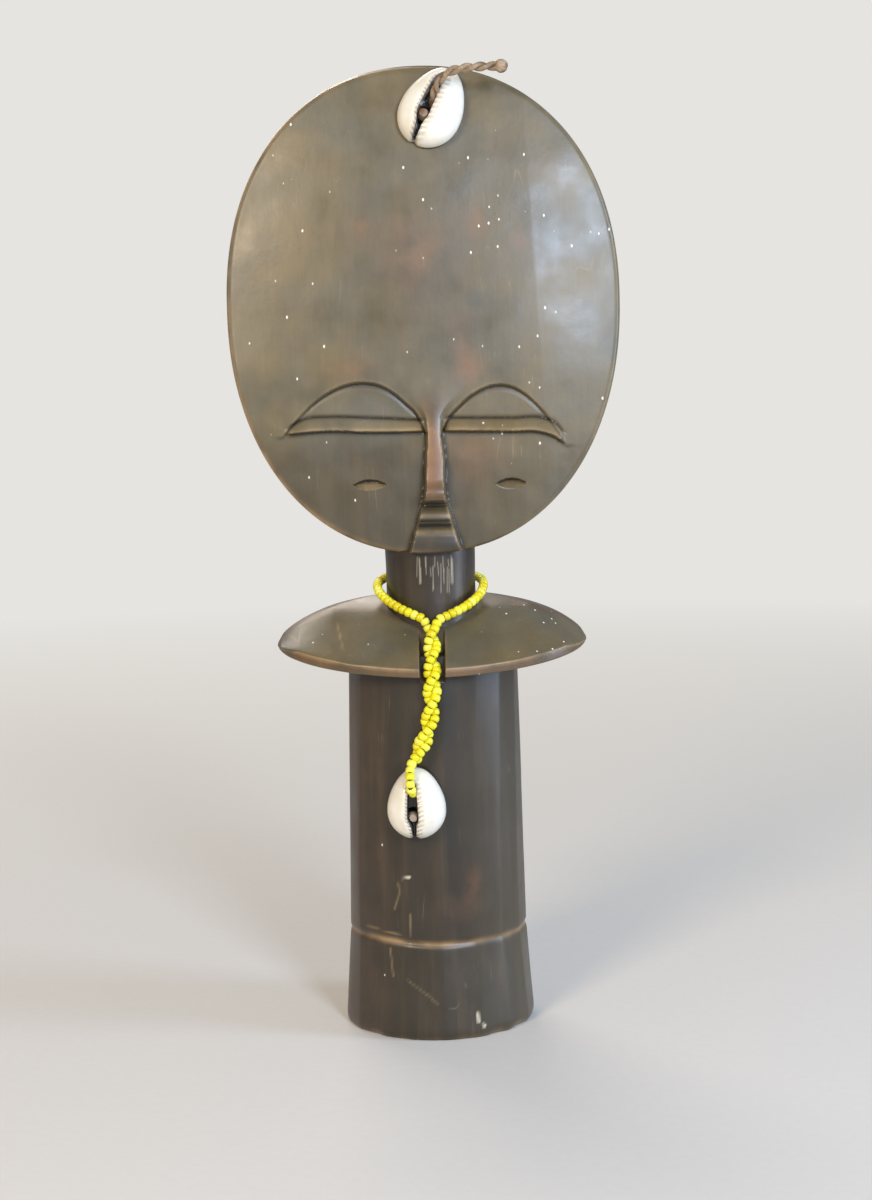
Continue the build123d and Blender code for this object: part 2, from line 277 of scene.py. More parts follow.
def head_to_world(local: np.ndarray) -> np.ndarray:
    """Lean the head's own frame back by its angle and lift it on to the neck.

    Args:
        local: points in the head's frame.
    Returns:
        Points in the model's frame.
    """
    x, y, z = local[..., 0], local[..., 1], local[..., 2]
    c, s = math.cos(HEAD_LEAN), math.sin(HEAD_LEAN)
    return np.stack((x, y * c + z * s, z * c - y * s), -1) + HEAD_ORIGIN


# ------------------------------------------------------------------ lines that cords follow
@dataclass
class Line:
    """A smooth line read from a NURBS spline, by distance along it."""

    points: np.ndarray

    def __post_init__(self) -> None:
        """Work out the distance of each point from the start."""
        steps = np.linalg.norm(np.diff(self.points, axis=0), axis=1)
        self.run = np.concatenate(([0.0], np.cumsum(steps)))

    @property
    def length(self) -> float:
        """Length of the line in millimetres."""
        return float(self.run[-1])

    def at(self, along: np.ndarray) -> np.ndarray:
        """Points at distances along the line, straight between the spline's own points."""
        return np.stack([np.interp(along, self.run, self.points[:, k]) for k in range(3)], -1)

    def frames(self, along: np.ndarray) -> tuple:
        """Frames at distances along the line.

        Args:
            along: distances from the start.
        Returns:
            Points, directions and two side directions square to each other.
        """
        step = 0.25
        ahead = self.at(np.clip(along + step, 0, self.length))
        direction = ahead - self.at(np.clip(along - step, 0, self.length))
        direction /= np.linalg.norm(direction, axis=-1, keepdims=True)
        up = np.array((0.31, 0.22, 0.92))
        side = np.cross(direction, up)
        side /= np.linalg.norm(side, axis=-1, keepdims=True)
        return self.at(along), direction, side, np.cross(side, direction)


def nurbs(name: str, route: list, thickness: float) -> tuple:
    """Open NURBS curve with the route's points as control points, and the line it follows.

    Args:
        name: object name.
        route: control points in millimetres.
        thickness: diameter in millimetres.
    Returns:
        The curve object and its Line.
    """
    curve = bpy.data.curves.new(name, "CURVE")
    curve.dimensions = "3D"
    spline = curve.splines.new("NURBS")
    spline.points.add(len(route) - 1)
    for point, place in zip(spline.points, route):
        point.co = (*(c * MM for c in place), 1.0)
    spline.order_u = 3
    spline.use_endpoint_u = True
    curve.resolution_u = 10
    obj = bpy.data.objects.new(name, curve)
    bpy.context.scene.collection.objects.link(obj)
    bpy.context.view_layer.update()
    mesh = bpy.data.meshes.new_from_object(obj)
    points = np.array([v.co for v in mesh.vertices]) / MM
    bpy.data.meshes.remove(mesh)
    curve.bevel_depth = thickness * MM / 2
    curve.bevel_resolution = 3
    curve.use_fill_caps = True
    return obj, Line(points)


def sweep(
    line: Line, radius: float, offset: float = 0.0, pitch: float = 1.0, phase: float = 0.0,
    around: int = 12, step: float = 0.5
) -> np.ndarray:
    """Round strand along a line, or twisted round it: centre + offset (cos a, sin a), a = 2 pi s / pitch.

    Args:
        line: line that it follows.
        radius: radius of the strand.
        offset: radius of the twist, 0 for none.
        pitch: length of one turn of the twist.
        phase: angle at which the twist starts.
        around: points round the strand.
        step: distance between rings.
    Returns:
        Grid of points, (rings, around, 3).
    """
    along = np.linspace(0, line.length, max(8, int(line.length / step)))
    centre, _, side, up = line.frames(along)
    if offset:
        turn = (phase + 2 * math.pi * along / pitch)[:, None]
        centre = centre + offset * (side * np.cos(turn) + up * np.sin(turn))
        twisted = Line(centre)
        centre, _, side, up = twisted.frames(twisted.run)
    angle = np.linspace(0, 2 * math.pi, around, endpoint=False)
    taper = np.minimum(1, np.sqrt(np.minimum(along, line.length - along) / (radius * 0.8) + 0.05))
    ring = side[:, None] * np.cos(angle)[None, :, None] + up[:, None] * np.sin(angle)[None, :, None]
    return centre[:, None] + ring * (radius * taper)[:, None, None]


def several_tubes(name: str, grids: list) -> bpy.types.Object:
    """One mesh of several closed tubes side by side, such as the two plies of a thong.

    Args:
        name: object name.
        grids: a grid of points for each tube.
    Returns:
        The object.
    """
    points, faces, base = [], [], 0
    for grid in grids:
        rows, columns = grid.shape[:2]
        total = rows * columns
        points += [grid.reshape(-1, 3), grid[:1].mean(1), grid[-1:].mean(1)]
        ring = np.arange(columns)
        faces += [
            quads(rows, columns, True) + base,
            fan(ring + base, total + base, True),
            fan(ring + (rows - 1) * columns + base, total + 1 + base, False),
        ]
        base += total + 2
    return make_mesh(name, np.concatenate(points), faces, {})


# ------------------------------------------------------------------ finishes
class Kind(Enum):
    """Shader nodes that the finishes are made of."""

    ATTRIBUTE = "ShaderNodeAttribute"
    BACKGROUND = "ShaderNodeBackground"
    BUMP = "ShaderNodeBump"
    CELLS = "ShaderNodeTexVoronoi"
    EMISSION = "ShaderNodeEmission"
    LIGHT_PATH = "ShaderNodeLightPath"
    MATH = "ShaderNodeMath"
    MIX = "ShaderNodeMix"
    MIX_SHADER = "ShaderNodeMixShader"
    NOISE = "ShaderNodeTexNoise"
    PLACE = "ShaderNodeTexCoord"
    RANGE = "ShaderNodeMapRange"
    SPLIT = "ShaderNodeSeparateColor"
    STRETCH = "ShaderNodeMapping"
    VECTOR_MATH = "ShaderNodeVectorMath"


def linear(hex_colour: str) -> tuple:
    """Turn an sRGB hex colour into linear RGBA.

    Args:
        hex_colour: such as "#1f1a12".
    Returns:
        Four linear values, the last 1.
    """
    parts = [int(hex_colour[i:i + 2], 16) / 255 for i in (1, 3, 5)]
    return (*(p / 12.92 if p <= 0.04045 else ((p + 0.055) / 1.055) ** 2.4 for p in parts), 1.0)


def add(
    tree: bpy.types.NodeTree, kind: Kind, inputs: dict | None = None, output: int | str = 0,
    **settings: object
) -> bpy.types.NodeSocket:
    """Add a node with its settings, and link or set its inputs.

    Args:
        tree: node tree.
        kind: kind of node.
        inputs: input name or number to a socket to link, or a value.
        output: name or number of the output to return.
        settings: node properties.
    Returns:
        The output socket.
    """
    node = tree.nodes.new(kind.value)
    for key, value in settings.items():
        setattr(node, key, value)
    for key, value in (inputs or {}).items():
        if isinstance(value, bpy.types.NodeSocket):
            tree.links.new(value, node.inputs[key])
        else:
            node.inputs[key].default_value = value
    return node.outputs[output]


def start_material(name: str) -> tuple:
    """Start a new material.

    Args:
        name: material name.
    Returns:
        The material, its node tree, its Principled shader and its Object coordinates.
    """
    material = bpy.data.materials.new(name)
    material.use_nodes = True
    tree = material.node_tree
    coords = add(tree, Kind.PLACE, output="Object")
    return material, tree, tree.nodes["Principled BSDF"], coords


@dataclass(frozen=True)
class PatinatedHardwood:
    """Hardwood carved with an adze and knife, blackened with dye and smoke, then handled for years.

    It gives a satin black-brown with a hazy grey layer that also carries painted sheen, olive and red-brown
    where hands have rubbed it, pale bruised edges with painted highlights, painted shade in creases, fine
    scratches and a few flecks of white paint.
    """

    black: str = "#17120b"
    brown: str = "#2f2414"
    grain_brown: str = "#5d4b33"
    # these two colours are a grey layer lightened to stand in for the satin sheen: painted sheen, the cool
    # one a painted cool reflection
    haze_and_sheen: str = "#786a49"
    cool_sheen_haze: str = "#6a6552"
    rubbed: str = "#8c5f3c"
    # bare wood colour for bruised edges, also laid on as painted highlight on lit facets and edges
    bare: str = "#b89a6c"
    # colour of the painted shade in creases, undercuts and under overhangs
    painted_shade: str = "#15110b"
    chalk: str = "#d9cfb4"
    paint: str = "#f2ecda"
    roughness: float = 0.38
    scratch_strength: float = 0.22
    scratch_half: float = 0.0035

    def build(self) -> bpy.types.Material:
        """Make the material.

        Mottle is about 26 mm across, cloud 11 mm, the grain 1 mm by 16 mm and the paint flecks 0.6 mm.

        Returns:
            The material.
        """
        material, tree, shader, coords = start_material("patinated_hardwood")
        mottle = add(tree, Kind.NOISE, {"Vector": coords, "Scale": 38.0, "Detail": 5.0})
        cloud = add(tree, Kind.NOISE, {"Vector": coords, "Scale": 95.0, "Detail": 6.0})
        upright = add(tree, Kind.STRETCH, {"Vector": coords, "Scale": (1.0, 1.0, 0.07)})
        grain = add(tree, Kind.NOISE, {"Vector": upright, "Scale": 900.0, "Detail": 3.0})
        streak = add(tree, Kind.NOISE, {"Vector": upright, "Scale": 190.0, "Detail": 4.0})

        # wood under the film: black to brown, with paler and darker streaks along the grain
        share = add(tree, Kind.RANGE, {0: mottle, 1: 0.35, 2: 0.65})
        colour = add(
            tree, Kind.MIX, {0: share, 6: linear(self.black), 7: linear(self.brown)}, 2, data_type="RGBA")
        for low, high, most, shade in ((0.48, 0.68, 0.30, self.grain_brown), (0.46, 0.30, 0.35, self.black)):
            share = add(tree, Kind.RANGE, {0: streak, 1: low, 2: high, 3: 0.0, 4: most})
            colour = add(tree, Kind.MIX, {0: share, 6: colour, 7: linear(shade)}, 2, data_type="RGBA")

        share = add(tree, Kind.RANGE, {0: mottle, 1: 0.4, 2: 0.62})
        haze_and_sheen_colour = add(
            tree, Kind.MIX, {0: share, 6: linear(self.haze_and_sheen), 7: linear(self.cool_sheen_haze)}, 2, data_type="RGBA")
        grain_share = add(tree, Kind.RANGE, {0: grain, 1: 0.35, 2: 0.65, 3: 0.0, 4: 0.07})
        # the grey layer with its painted sheen, then the rubbed and bare colours: each mesh attribute broken
        # up by the cloud pattern
        for name, low, high, least, shade in (
            ("haze_and_sheen", 0.25, 0.7, 0.72, haze_and_sheen_colour),
            ("rubbed", 0.36, 0.6, 0.25, linear(self.rubbed)),
            ("worn_and_highlight", 0.38, 0.58, 0.3, linear(self.bare)),
        ):
            amount = add(tree, Kind.ATTRIBUTE, None, "Fac", attribute_name=name)
            broken = add(tree, Kind.RANGE, {0: cloud, 1: low, 2: high, 3: least, 4: 1.0})
            share = add(tree, Kind.MATH, {0: amount, 1: broken}, operation="MULTIPLY")
            colour = add(tree, Kind.MIX, {0: share, 6: colour, 7: shade}, 2, data_type="RGBA")
            if name == "haze_and_sheen":
                colour = add(
                    tree, Kind.MIX, {0: grain_share, 6: colour, 7: linear(self.black)}, 2, data_type="RGBA"
                )
        # painted shade: creases, undercuts and the parts under overhangs darkened
        share = add(tree, Kind.ATTRIBUTE, None, "Fac", attribute_name="painted_shade")
        colour = add(tree, Kind.MIX, {0: share, 6: colour, 7: linear(self.painted_shade)}, 2, data_type="RGBA")

        # scratches: thin lines where a stretched noise crosses its middle value, kept in patches
        lines = []
        for turn, scale, seed in (((0.3, 0.5, 0.2), 70.0, 1.7), ((0.1, -0.6, 0.0), 95.0, 6.1)):
            spread = add(tree, Kind.STRETCH, {
                "Vector": coords, "Location": (seed, seed, 0.0), "Rotation": turn, "Scale": (1.0, 1.0, 0.05)})
            run = add(tree, Kind.NOISE, {"Vector": spread, "Scale": scale, "Detail": 1.0})
            away = add(tree, Kind.MATH, {0: run, 1: 0.5}, operation="SUBTRACT")
            away = add(tree, Kind.MATH, {0: away}, operation="ABSOLUTE")
            thin = add(tree, Kind.RANGE, {0: away, 1: 0.0, 2: self.scratch_half, 3: 1.0, 4: 0.0})
            patch = add(tree, Kind.RANGE, {0: cloud, 1: 0.55, 2: 0.66})
            lines.append(add(tree, Kind.MATH, {0: thin, 1: patch}, operation="MULTIPLY"))
        scratch = add(tree, Kind.MATH, {0: lines[0], 1: lines[1]}, operation="MAXIMUM")
        share = add(tree, Kind.MATH, {0: scratch, 1: self.scratch_strength}, operation="MULTIPLY")
        colour = add(tree, Kind.MIX, {0: share, 6: colour, 7: linear(self.bare)}, 2, data_type="RGBA")

        # paint flecks: dots at the middles of the cells that the paint attribute picks
        squashed = add(tree, Kind.STRETCH, {"Vector": coords, "Scale": (1.0, 1.0, 0.6)})
        away = add(tree, Kind.CELLS, {"Vector": squashed, "Scale": 330.0, "Randomness": 1.0}, "Distance")
        dot = add(tree, Kind.RANGE, {0: away, 1: 0.07, 2: 0.13, 3: 1.0, 4: 0.0})
        chance = add(tree, Kind.SPLIT, {0: away.node.outputs["Color"]})
        amount = add(tree, Kind.ATTRIBUTE, None, "Fac", attribute_name="paint")
        chosen = add(tree, Kind.MATH, {0: amount, 1: chance}, operation="GREATER_THAN")
        share = add(tree, Kind.MATH, {0: dot, 1: chosen}, operation="MULTIPLY")
        colour = add(tree, Kind.MIX, {0: share, 6: colour, 7: linear(self.paint)}, 2, data_type="RGBA")
        share = add(tree, Kind.ATTRIBUTE, None, "Fac", attribute_name="chalk")
        colour = add(tree, Kind.MIX, {0: share, 6: colour, 7: linear(self.chalk)}, 2, data_type="RGBA")
        tree.links.new(colour, shader.inputs["Base Color"])

        rough = add(tree, Kind.RANGE, {
            0: cloud, 1: 0.3, 2: 0.7, 3: self.roughness - 0.06, 4: self.roughness + 0.1})
        tree.links.new(rough, shader.inputs["Roughness"])
        shader.inputs["IOR"].default_value = 1.52
        shader.inputs["Coat Weight"].default_value = 0.28
        shader.inputs["Coat Roughness"].default_value = 0.36
        fine = add(tree, Kind.NOISE, {"Vector": coords, "Scale": 1100.0, "Detail": 2.0})
        knife = add(tree, Kind.NOISE, {"Vector": coords, "Scale": 75.0, "Detail": 3.0})
        bump = add(tree, Kind.BUMP, {"Strength": 0.3, "Distance": 0.0007, "Height": knife})
        bump = add(tree, Kind.BUMP, {"Strength": 0.12, "Distance": 0.0001, "Height": grain, "Normal": bump})
        bump = add(tree, Kind.BUMP, {"Strength": 0.2, "Distance": 0.0001, "Height": fine, "Normal": bump})
        tree.links.new(bump, shader.inputs["Normal"])
        return material


@dataclass(frozen=True)
class CowrieGlaze:
    """Cowrie shell, smooth natural glaze: glossy ivory, cream in the teeth, dark inside as painted shade."""

    ivory: str = "#f1ecdd"
    cream: str = "#e0d2b0"
    stain: str = "#7a583c"
    # colour of the painted shade in the slit
    inside: str = "#150d08"

    def build(self) -> bpy.types.Material:
        """Make the material, its cream clouds about 5 mm across.

        Returns:
            The material.
        """
        material, tree, shader, coords = start_material("cowrie_shell_glaze")
        cloud = add(tree, Kind.NOISE, {"Vector": coords, "Scale": 210.0, "Detail": 4.0})
        share = add(tree, Kind.RANGE, {0: cloud, 1: 0.4, 2: 0.7, 3: 0.0, 4: 0.45})
        colour = add(
            tree, Kind.MIX, {0: share, 6: linear(self.ivory), 7: linear(self.cream)}, 2, data_type="RGBA")
        amount = add(tree, Kind.ATTRIBUTE, None, "Fac", attribute_name="stain")
        broken = add(tree, Kind.RANGE, {0: cloud, 1: 0.3, 2: 0.6, 3: 0.6, 4: 1.0})
        share = add(tree, Kind.MATH, {0: amount, 1: broken}, operation="MULTIPLY")
        colour = add(tree, Kind.MIX, {0: share, 6: colour, 7: linear(self.stain)}, 2, data_type="RGBA")
        # painted shade: the slit and the gaps between the teeth darkened, standing in for the dark wood seen
        # through the opening and the shade in it
        share = add(tree, Kind.ATTRIBUTE, None, "Fac", attribute_name="inside")
        colour = add(tree, Kind.MIX, {0: share, 6: colour, 7: linear(self.inside)}, 2, data_type="RGBA")
        tree.links.new(colour, shader.inputs["Base Color"])
        shader.inputs["Roughness"].default_value = 0.2
        shader.inputs["IOR"].default_value = 1.53
        shader.inputs["Subsurface Weight"].default_value = 0.06
        shader.inputs["Subsurface Radius"].default_value = (0.002, 0.0015, 0.001)
        bump = add(tree, Kind.BUMP, {"Strength": 0.12, "Distance": 0.0002, "Height": cloud})
        tree.links.new(bump, shader.inputs["Normal"])
        return material


@dataclass(frozen=True)
class OpaqueBeadGlass:
    """Opaque drawn-glass seed bead, tumbled: lemon yellow that differs a little bead by bead."""

    lemon: str = "#f0e61c"
    pale: str = "#f6f05e"
    deep: str = "#dccb0e"
    # darker yellow painted as shade in the hole
    hole: str = "#a8980e"

    def build(self) -> bpy.types.Material:
        """Make the material, its pits drawn about 0.7 mm apart.

        Returns:
            The material.
        """
        material, tree, shader, coords = start_material("opaque_bead_glass")
        tone = add(tree, Kind.ATTRIBUTE, None, "Fac", attribute_name="bead_tone")
        share = add(tree, Kind.RANGE, {0: tone, 1: 0.0, 2: 0.5})
        colour = add(
            tree, Kind.MIX, {0: share, 6: linear(self.deep), 7: linear(self.lemon)}, 2, data_type="RGBA")
        share = add(tree, Kind.RANGE, {0: tone, 1: 0.55, 2: 1.0})
        colour = add(tree, Kind.MIX, {0: share, 6: colour, 7: linear(self.pale)}, 2, data_type="RGBA")
        # painted shade on the walls of the hole
        share = add(tree, Kind.ATTRIBUTE, None, "Fac", attribute_name="hole")
        colour = add(tree, Kind.MIX, {0: share, 6: colour, 7: linear(self.hole)}, 2, data_type="RGBA")
        tree.links.new(colour, shader.inputs["Base Color"])
        shader.inputs["Roughness"].default_value = 0.26
        shader.inputs["IOR"].default_value = 1.51
        shader.inputs["Subsurface Weight"].default_value = 0.08
        shader.inputs["Subsurface Radius"].default_value = (0.001, 0.0008, 0.0002)
        pits = add(tree, Kind.NOISE, {"Vector": coords, "Scale": 1400.0, "Detail": 2.0})
        bump = add(tree, Kind.BUMP, {"Strength": 0.15, "Distance": 0.0001, "Height": pits})
        tree.links.new(bump, shader.inputs["Normal"])
        return material


@dataclass(frozen=True)
class TwistedHide:
    """Strip of hide twisted into a two-ply thong, dry and fibrous: dull pinkish grey-brown."""

    light: str = "#b19a7e"
    dark: str = "#6d5641"

    def build(self) -> bpy.types.Material:
        """Make the material; its fibres are drawn about 0.7 mm apart so that they show.

        Returns:
            The material.
        """
        material, tree, shader, coords = start_material("twisted_hide")
        fibre = add(tree, Kind.NOISE, {"Vector": coords, "Scale": 1500.0, "Detail": 4.0})
        patch = add(tree, Kind.NOISE, {"Vector": coords, "Scale": 260.0, "Detail": 3.0})
        share = add(tree, Kind.RANGE, {0: patch, 1: 0.35, 2: 0.65})
        colour = add(
            tree, Kind.MIX, {0: share, 6: linear(self.dark), 7: linear(self.light)}, 2, data_type="RGBA")
        share = add(tree, Kind.RANGE, {0: fibre, 1: 0.5, 2: 0.7, 3: 0.0, 4: 0.5})
        colour = add(tree, Kind.MIX, {0: share, 6: colour, 7: linear(self.dark)}, 2, data_type="RGBA")
        tree.links.new(colour, shader.inputs["Base Color"])
        shader.inputs["Roughness"].default_value = 0.8
        bump = add(tree, Kind.BUMP, {"Strength": 0.6, "Distance": 0.0003, "Height": fibre})
        tree.links.new(bump, shader.inputs["Normal"])
        return material


@dataclass(frozen=True)
class CottonThread:
    """Waxed cotton thread, laid from fine plies: dull off-white darkened by handling."""

    light: str = "#b8a886"
    dark: str = "#7a6a4c"

    def build(self) -> bpy.types.Material:
        """Make the material; its plies are drawn 0.4 mm apart.

        Returns:
            The material.
        """
        material, tree, shader, coords = start_material("waxed_cotton_thread")
        ply = add(tree, Kind.NOISE, {"Vector": coords, "Scale": 2500.0, "Detail": 2.0})
        share = add(tree, Kind.RANGE, {0: ply, 1: 0.4, 2: 0.6})
        colour = add(
            tree, Kind.MIX, {0: share, 6: linear(self.dark), 7: linear(self.light)}, 2, data_type="RGBA")
        tree.links.new(colour, shader.inputs["Base Color"])
        shader.inputs["Roughness"].default_value = 0.7
        bump = add(tree, Kind.BUMP, {"Strength": 0.5, "Distance": 0.0001, "Height": ply})
        tree.links.new(bump, shader.inputs["Normal"])
        return material


def dress(obj: bpy.types.Object, material: bpy.types.Material, slot: Slot, body: str, *nodes: str) -> None:
    """Give a piece its material, its body and the CAD nodes that it stands for.

    Args:
        obj: the piece.
        material: its only material.
        slot: slot of the record; not used.
        body: body that it moves with, or "" for a piece that bends between two.
        nodes: CAD nodes that it hides.
    """
    obj.data.materials.clear()
    obj.data.materials.append(material)
    if body:
        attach(obj, body)
    if nodes:
        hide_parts(*nodes)
    log.info("%s on %s replaces %s", obj.name, body or "two bodies", ", ".join(nodes) or "nothing")


# ------------------------------------------------------------------ the carving
@dataclass
class CarvedHead:
    """Flat oval head, thick in the middle, with a closed-eye face in low relief.

    Lengths are in the head's own frame: z from the chin, y towards the back. Knots are (position,
    value) pairs for a smooth curve.
    """

    half_width: float = 64.6
    centre_x: float = -0.3
    centre_z: float = 83.0
    upper: float = 76.71
    power: float = 2.17
    lens_radius: float = 662.0
    thickness: float = 13.0
    edge_round: float = 1.7
    recess: float = -3.6
    lid_height: float = 2.3
    axis: float = 2.1
    left_brow: tuple = ((-47.5, 39.5), (-44.8, 42.6), (-36.5, 50.5), (-28.0, 55.2), (-21.0, 56.4),
                        (-13.5, 54.6), (-7.0, 49.6), (-2.6, 44.6), (-0.6, 40.0))
    right_brow: tuple = ((4.6, 39.0), (6.0, 42.4), (11.0, 48.6), (17.5, 53.2), (23.5, 54.8), (29.5, 53.4),
                         (36.5, 47.8), (42.3, 40.4), (45.6, 34.8))
    # each lid: x of its two ends, knots of its upper edge, knots of its lower edge
    lids: tuple = (
        (-47.0, -0.4, ((-47, 41.2), (-40, 44.9), (-32, 45.4), (-20, 44.9), (-10, 44.3), (0, 43.6)),
         ((-47, 39.9), (-40, 40.6), (-32, 40.9), (-20, 40.3), (-10, 40.1), (0, 40.1))),
        (4.9, 45.6, ((4, 44.4), (15, 44.1), (28, 43.8), (38, 43.5), (42, 41.8), (46, 37.0)),
         ((4, 40.1), (15, 39.9), (28, 39.5), (37, 39.2), (42, 37.4), (46, 34.4))),
    )
    # the ridge that is chin, lips and nose, by height: its middle, half its width, its depth
    ridge_middle: tuple = ((-2, 2.2), (9, 1.9), (16, 2.05), (30, 2.3), (46, 2.1), (60, 2.1))
    ridge_half: tuple = ((-2, 8.9), (1, 8.3), (6, 6.8), (9, 5.9), (13.5, 4.7), (16.5, 3.8), (30, 2.9),
                         (40, 2.35), (45, 2.9), (50, 5.5), (58, 12.0))
    ridge_depth: tuple = (
        (-2, -8.6), (1, -8.5), (4, -8.5), (6.5, -8.3), (8.0, -7.4), (9.2, -6.0), (10.2, -5.7), (11.0, -6.9),
        (12.2, -7.0), (14.0, -6.2), (15.2, -5.0), (16.1, -5.2), (16.9, -9.4), (17.8, -10.3), (24.0, -9.5),
        (35.0, -7.7), (42.0, -6.8), (48.0, -6.35), (60.0, -6.15), (75.0, -6.2),
    )
    # short cut in each cheek: x, z, half its length
    cheek_cuts: tuple = ((-19.2, 22.9, 5.2), (27.2, 22.4, 4.9))
    # where hands have rubbed it brown: how much, x, z, half width, half height
    rubbed_spots: tuple = (
        (0.4, -19.5, 106.5, 3.0, 4.0), (0.45, 17.5, 108, 2.6, 4.5), (0.5, 32, 101, 3.2, 2.6),
        (0.5, 13.5, 60, 5.0, 5.5), (0.35, 12.0, 72, 3.5, 8.0), (0.3, -24, 60, 9.0, 4.0),
        (0.35, -3, 98, 10, 12), (0.3, 15, 31, 9, 9),
    )

    def disc(self, u: np.ndarray, v: np.ndarray) -> tuple:
        """Square to oval: x = u sqrt(1 - v^2 / 2), z = v sqrt(1 - u^2 / 2), then the superellipse.

        Args:
            u, v: place in the square, -1 to 1.
        Returns:
            Local x and z in millimetres and the radius in the unit disc.
        """
        a = u * np.sqrt(1 - v**2 / 2)
        b = v * np.sqrt(1 - u**2 / 2)
        radius = np.hypot(a, b)
        angle = np.arctan2(b, a)
        n = self.power
        reach = (np.abs(np.cos(angle)) ** n + np.abs(np.sin(angle)) ** n) ** (-1 / n)
        tall = np.where(b > 0, self.upper, self.centre_z)
        return self.centre_x + a * reach * self.half_width, self.centre_z + b * reach * tall, radius

    def lens(self, x: np.ndarray, z: np.ndarray) -> np.ndarray:
        """Depth of the smooth front: half the thickness less r^2 / 2R."""
        r2 = (x - self.centre_x) ** 2 + (z - self.centre_z) ** 2
        return -self.thickness / 2 + r2 / (2 * self.lens_radius)

    def brow(self, x: np.ndarray) -> np.ndarray:
        """Height of the brow edge across the face, one arch over each eye."""
        return np.where(x < self.axis, through(self.left_brow, x), through(self.right_brow, x))

    def edge_drop(self, inward: np.ndarray, depth: np.ndarray) -> np.ndarray:
        """How far a quarter-round edge falls, r (1 - sqrt(1 - t^2)) with t = 1 - inward / r.

        Args:
            inward: distance in from the outline.
            depth: thickness of the head there, which limits r.
        Returns:
            The fall.
        """
        reach = np.minimum(self.edge_round, 0.46 * np.maximum(depth, 0.5))
        return reach * (1 - np.sqrt(1 - np.clip(1 - inward / reach, 0, 1) ** 2))

    def front(self, x: np.ndarray, z: np.ndarray) -> tuple:
        """Front surface of the head with the face carved in it.

        Depth = lens + adze facets, cut back to the eye plane below each brow arch, then raised
        by the lids and by one ridge that is nose, lips and chin.

        Args:
            x, z: place on the face.
        Returns:
            Depth and a dict of the values for rubbed and bare colour, paint flecks, painted highlight,
            painted shade and painted sheen.
        """
        base = self.lens(x, z)
        # broad adze facets: shallow slopes that start at soft lines
        facet_left = np.maximum(0, (-28.0 - x + 0.10 * (z - 110)) / 32)
        base += 1.0 * facet_left * smooth(60, 80, z)
        base += 1.1 * np.maximum(0, (x - 38.0 + 0.05 * (z - 60)) / 24)
        base += 0.7 * np.maximum(0, (z - 132 + 0.15 * x) / 24)
        base += 0.30 * ripple(x, z, 52.0, 4) * smooth(48, 62, z) + 0.05 * ripple(x, z, 19.0, 9)

        brow = self.brow(x)
        below = brow - z
        left = x < self.axis
        inside = smooth(-0.25, 0.75, below)
        lateral = np.where(left, smooth(-51.0, -46.5, x), smooth(50.0, 44.8, x))
        low = smooth(38.0, 24.0, z)
        side_fade = np.where(left, smooth(-62.0, -40.0, x), smooth(61.0, 38.0, x))
        keep = inside * (lateral * (1 - low) + side_fade * low)  # 1 where the eye plane shows
        flat = self.recess + 0.032 * np.maximum(0, 40 - z) - 0.05 * ripple(x, z, 12.0, 7)
        plane = 0.5 * (base + flat + np.sqrt((base - flat) ** 2 + 1.0)) - 0.15
        y = base + (plane - base) * keep
        depth = plane - base
        under = inside * (1 - smooth(0.6, 2.4, below)) * smooth(0.4, 1.4, depth)
        y += 0.28 * under

        lid, groove, lid_edge_and_cut_light, lid_face_highlight, lid_shadow = (np.zeros_like(x) for _ in range(5))
        for start, end, tops, feet in self.lids:
            top, foot = through(tops, x), through(feet, x)
            t = (top - z) / np.maximum(top - foot, 0.4)
            ends = smooth(start, start + 2.6, x) * smooth(end, end - 2.0, x)
            ramp = np.where((t > 0) & (t < 1), t**0.85, 0.0)
            fall = smooth(1.16, 1.0, t) * (t >= 1)
            lid += self.lid_height * (ramp + fall) * ends
            # painted highlight: the lid's upward-facing facet, lightened through the bare and grey colours
            lid_face_highlight += ramp * ends * smooth(0.0, 0.25, t)
            groove += np.exp(-(((z - top - 0.1) / 0.5) ** 2)) * ends
            # the lid's lower edge: wear, lightened further as painted highlight
            lid_edge_and_cut_light += np.exp(-(((z - foot - 0.35) / 0.55) ** 2)) * ends
            lid_shadow += np.exp(-(((z - foot + 0.75) / 0.75) ** 2)) * ends
        y -= lid
        y += 0.35 * groove

        centre, half, ridge = (
            through(knots, z) for knots in (self.ridge_middle, self.ridge_half, self.ridge_depth))
        across = np.abs(x - centre)
        flank = 1 - smooth(half - 0.35, half + np.interp(z, (44, 60), (0.75, 9.0)), across)
        above = smooth(64.0, 48.0, z)
        beside_nose = smooth(43.0, 39.0, z)
        raise_by = np.minimum(ridge + 0.25 * (across / half) ** 2 - y, 0.0)
        y += raise_by * flank * above
        mouth = np.exp(-(((z - 9.4) / 0.85) ** 4)) * (1 - smooth(5.0, 5.8, across))

        for cx, cz, wide in self.cheek_cuts:
            lens = 1.75 * np.maximum(0, 1 - np.abs((x - cx) / wide) ** 2.2)
            d = (z - cz) / np.maximum(lens, 0.05)
            cut = np.where((np.abs(d) < 1) & (lens > 0.05), 1.0, 0.0)
            y += cut * 1.5 * np.minimum((1 + d) / 1.6, (1 - d) / 0.4)
            # painted shade on the cut's steep upper wall and painted light on its upward-facing lower facet
            groove += 1.1 * cut * smooth(0.2, 0.8, d)
            lid_edge_and_cut_light += 0.75 * cut * smooth(0.5, -0.1, d)

        notch_side = np.exp(-(((across - half - 0.9) / 0.7) ** 2)) * smooth(-1, 2, z) * beside_nose
        under_nose = np.exp(-(((z - 15.6) / 0.75) ** 2)) * (1 - smooth(half - 0.2, half + 0.4, across))
        brow_line = np.exp(-(((below - 0.7) / 0.65) ** 2)) * keep * smooth(1.7, 2.6, across)
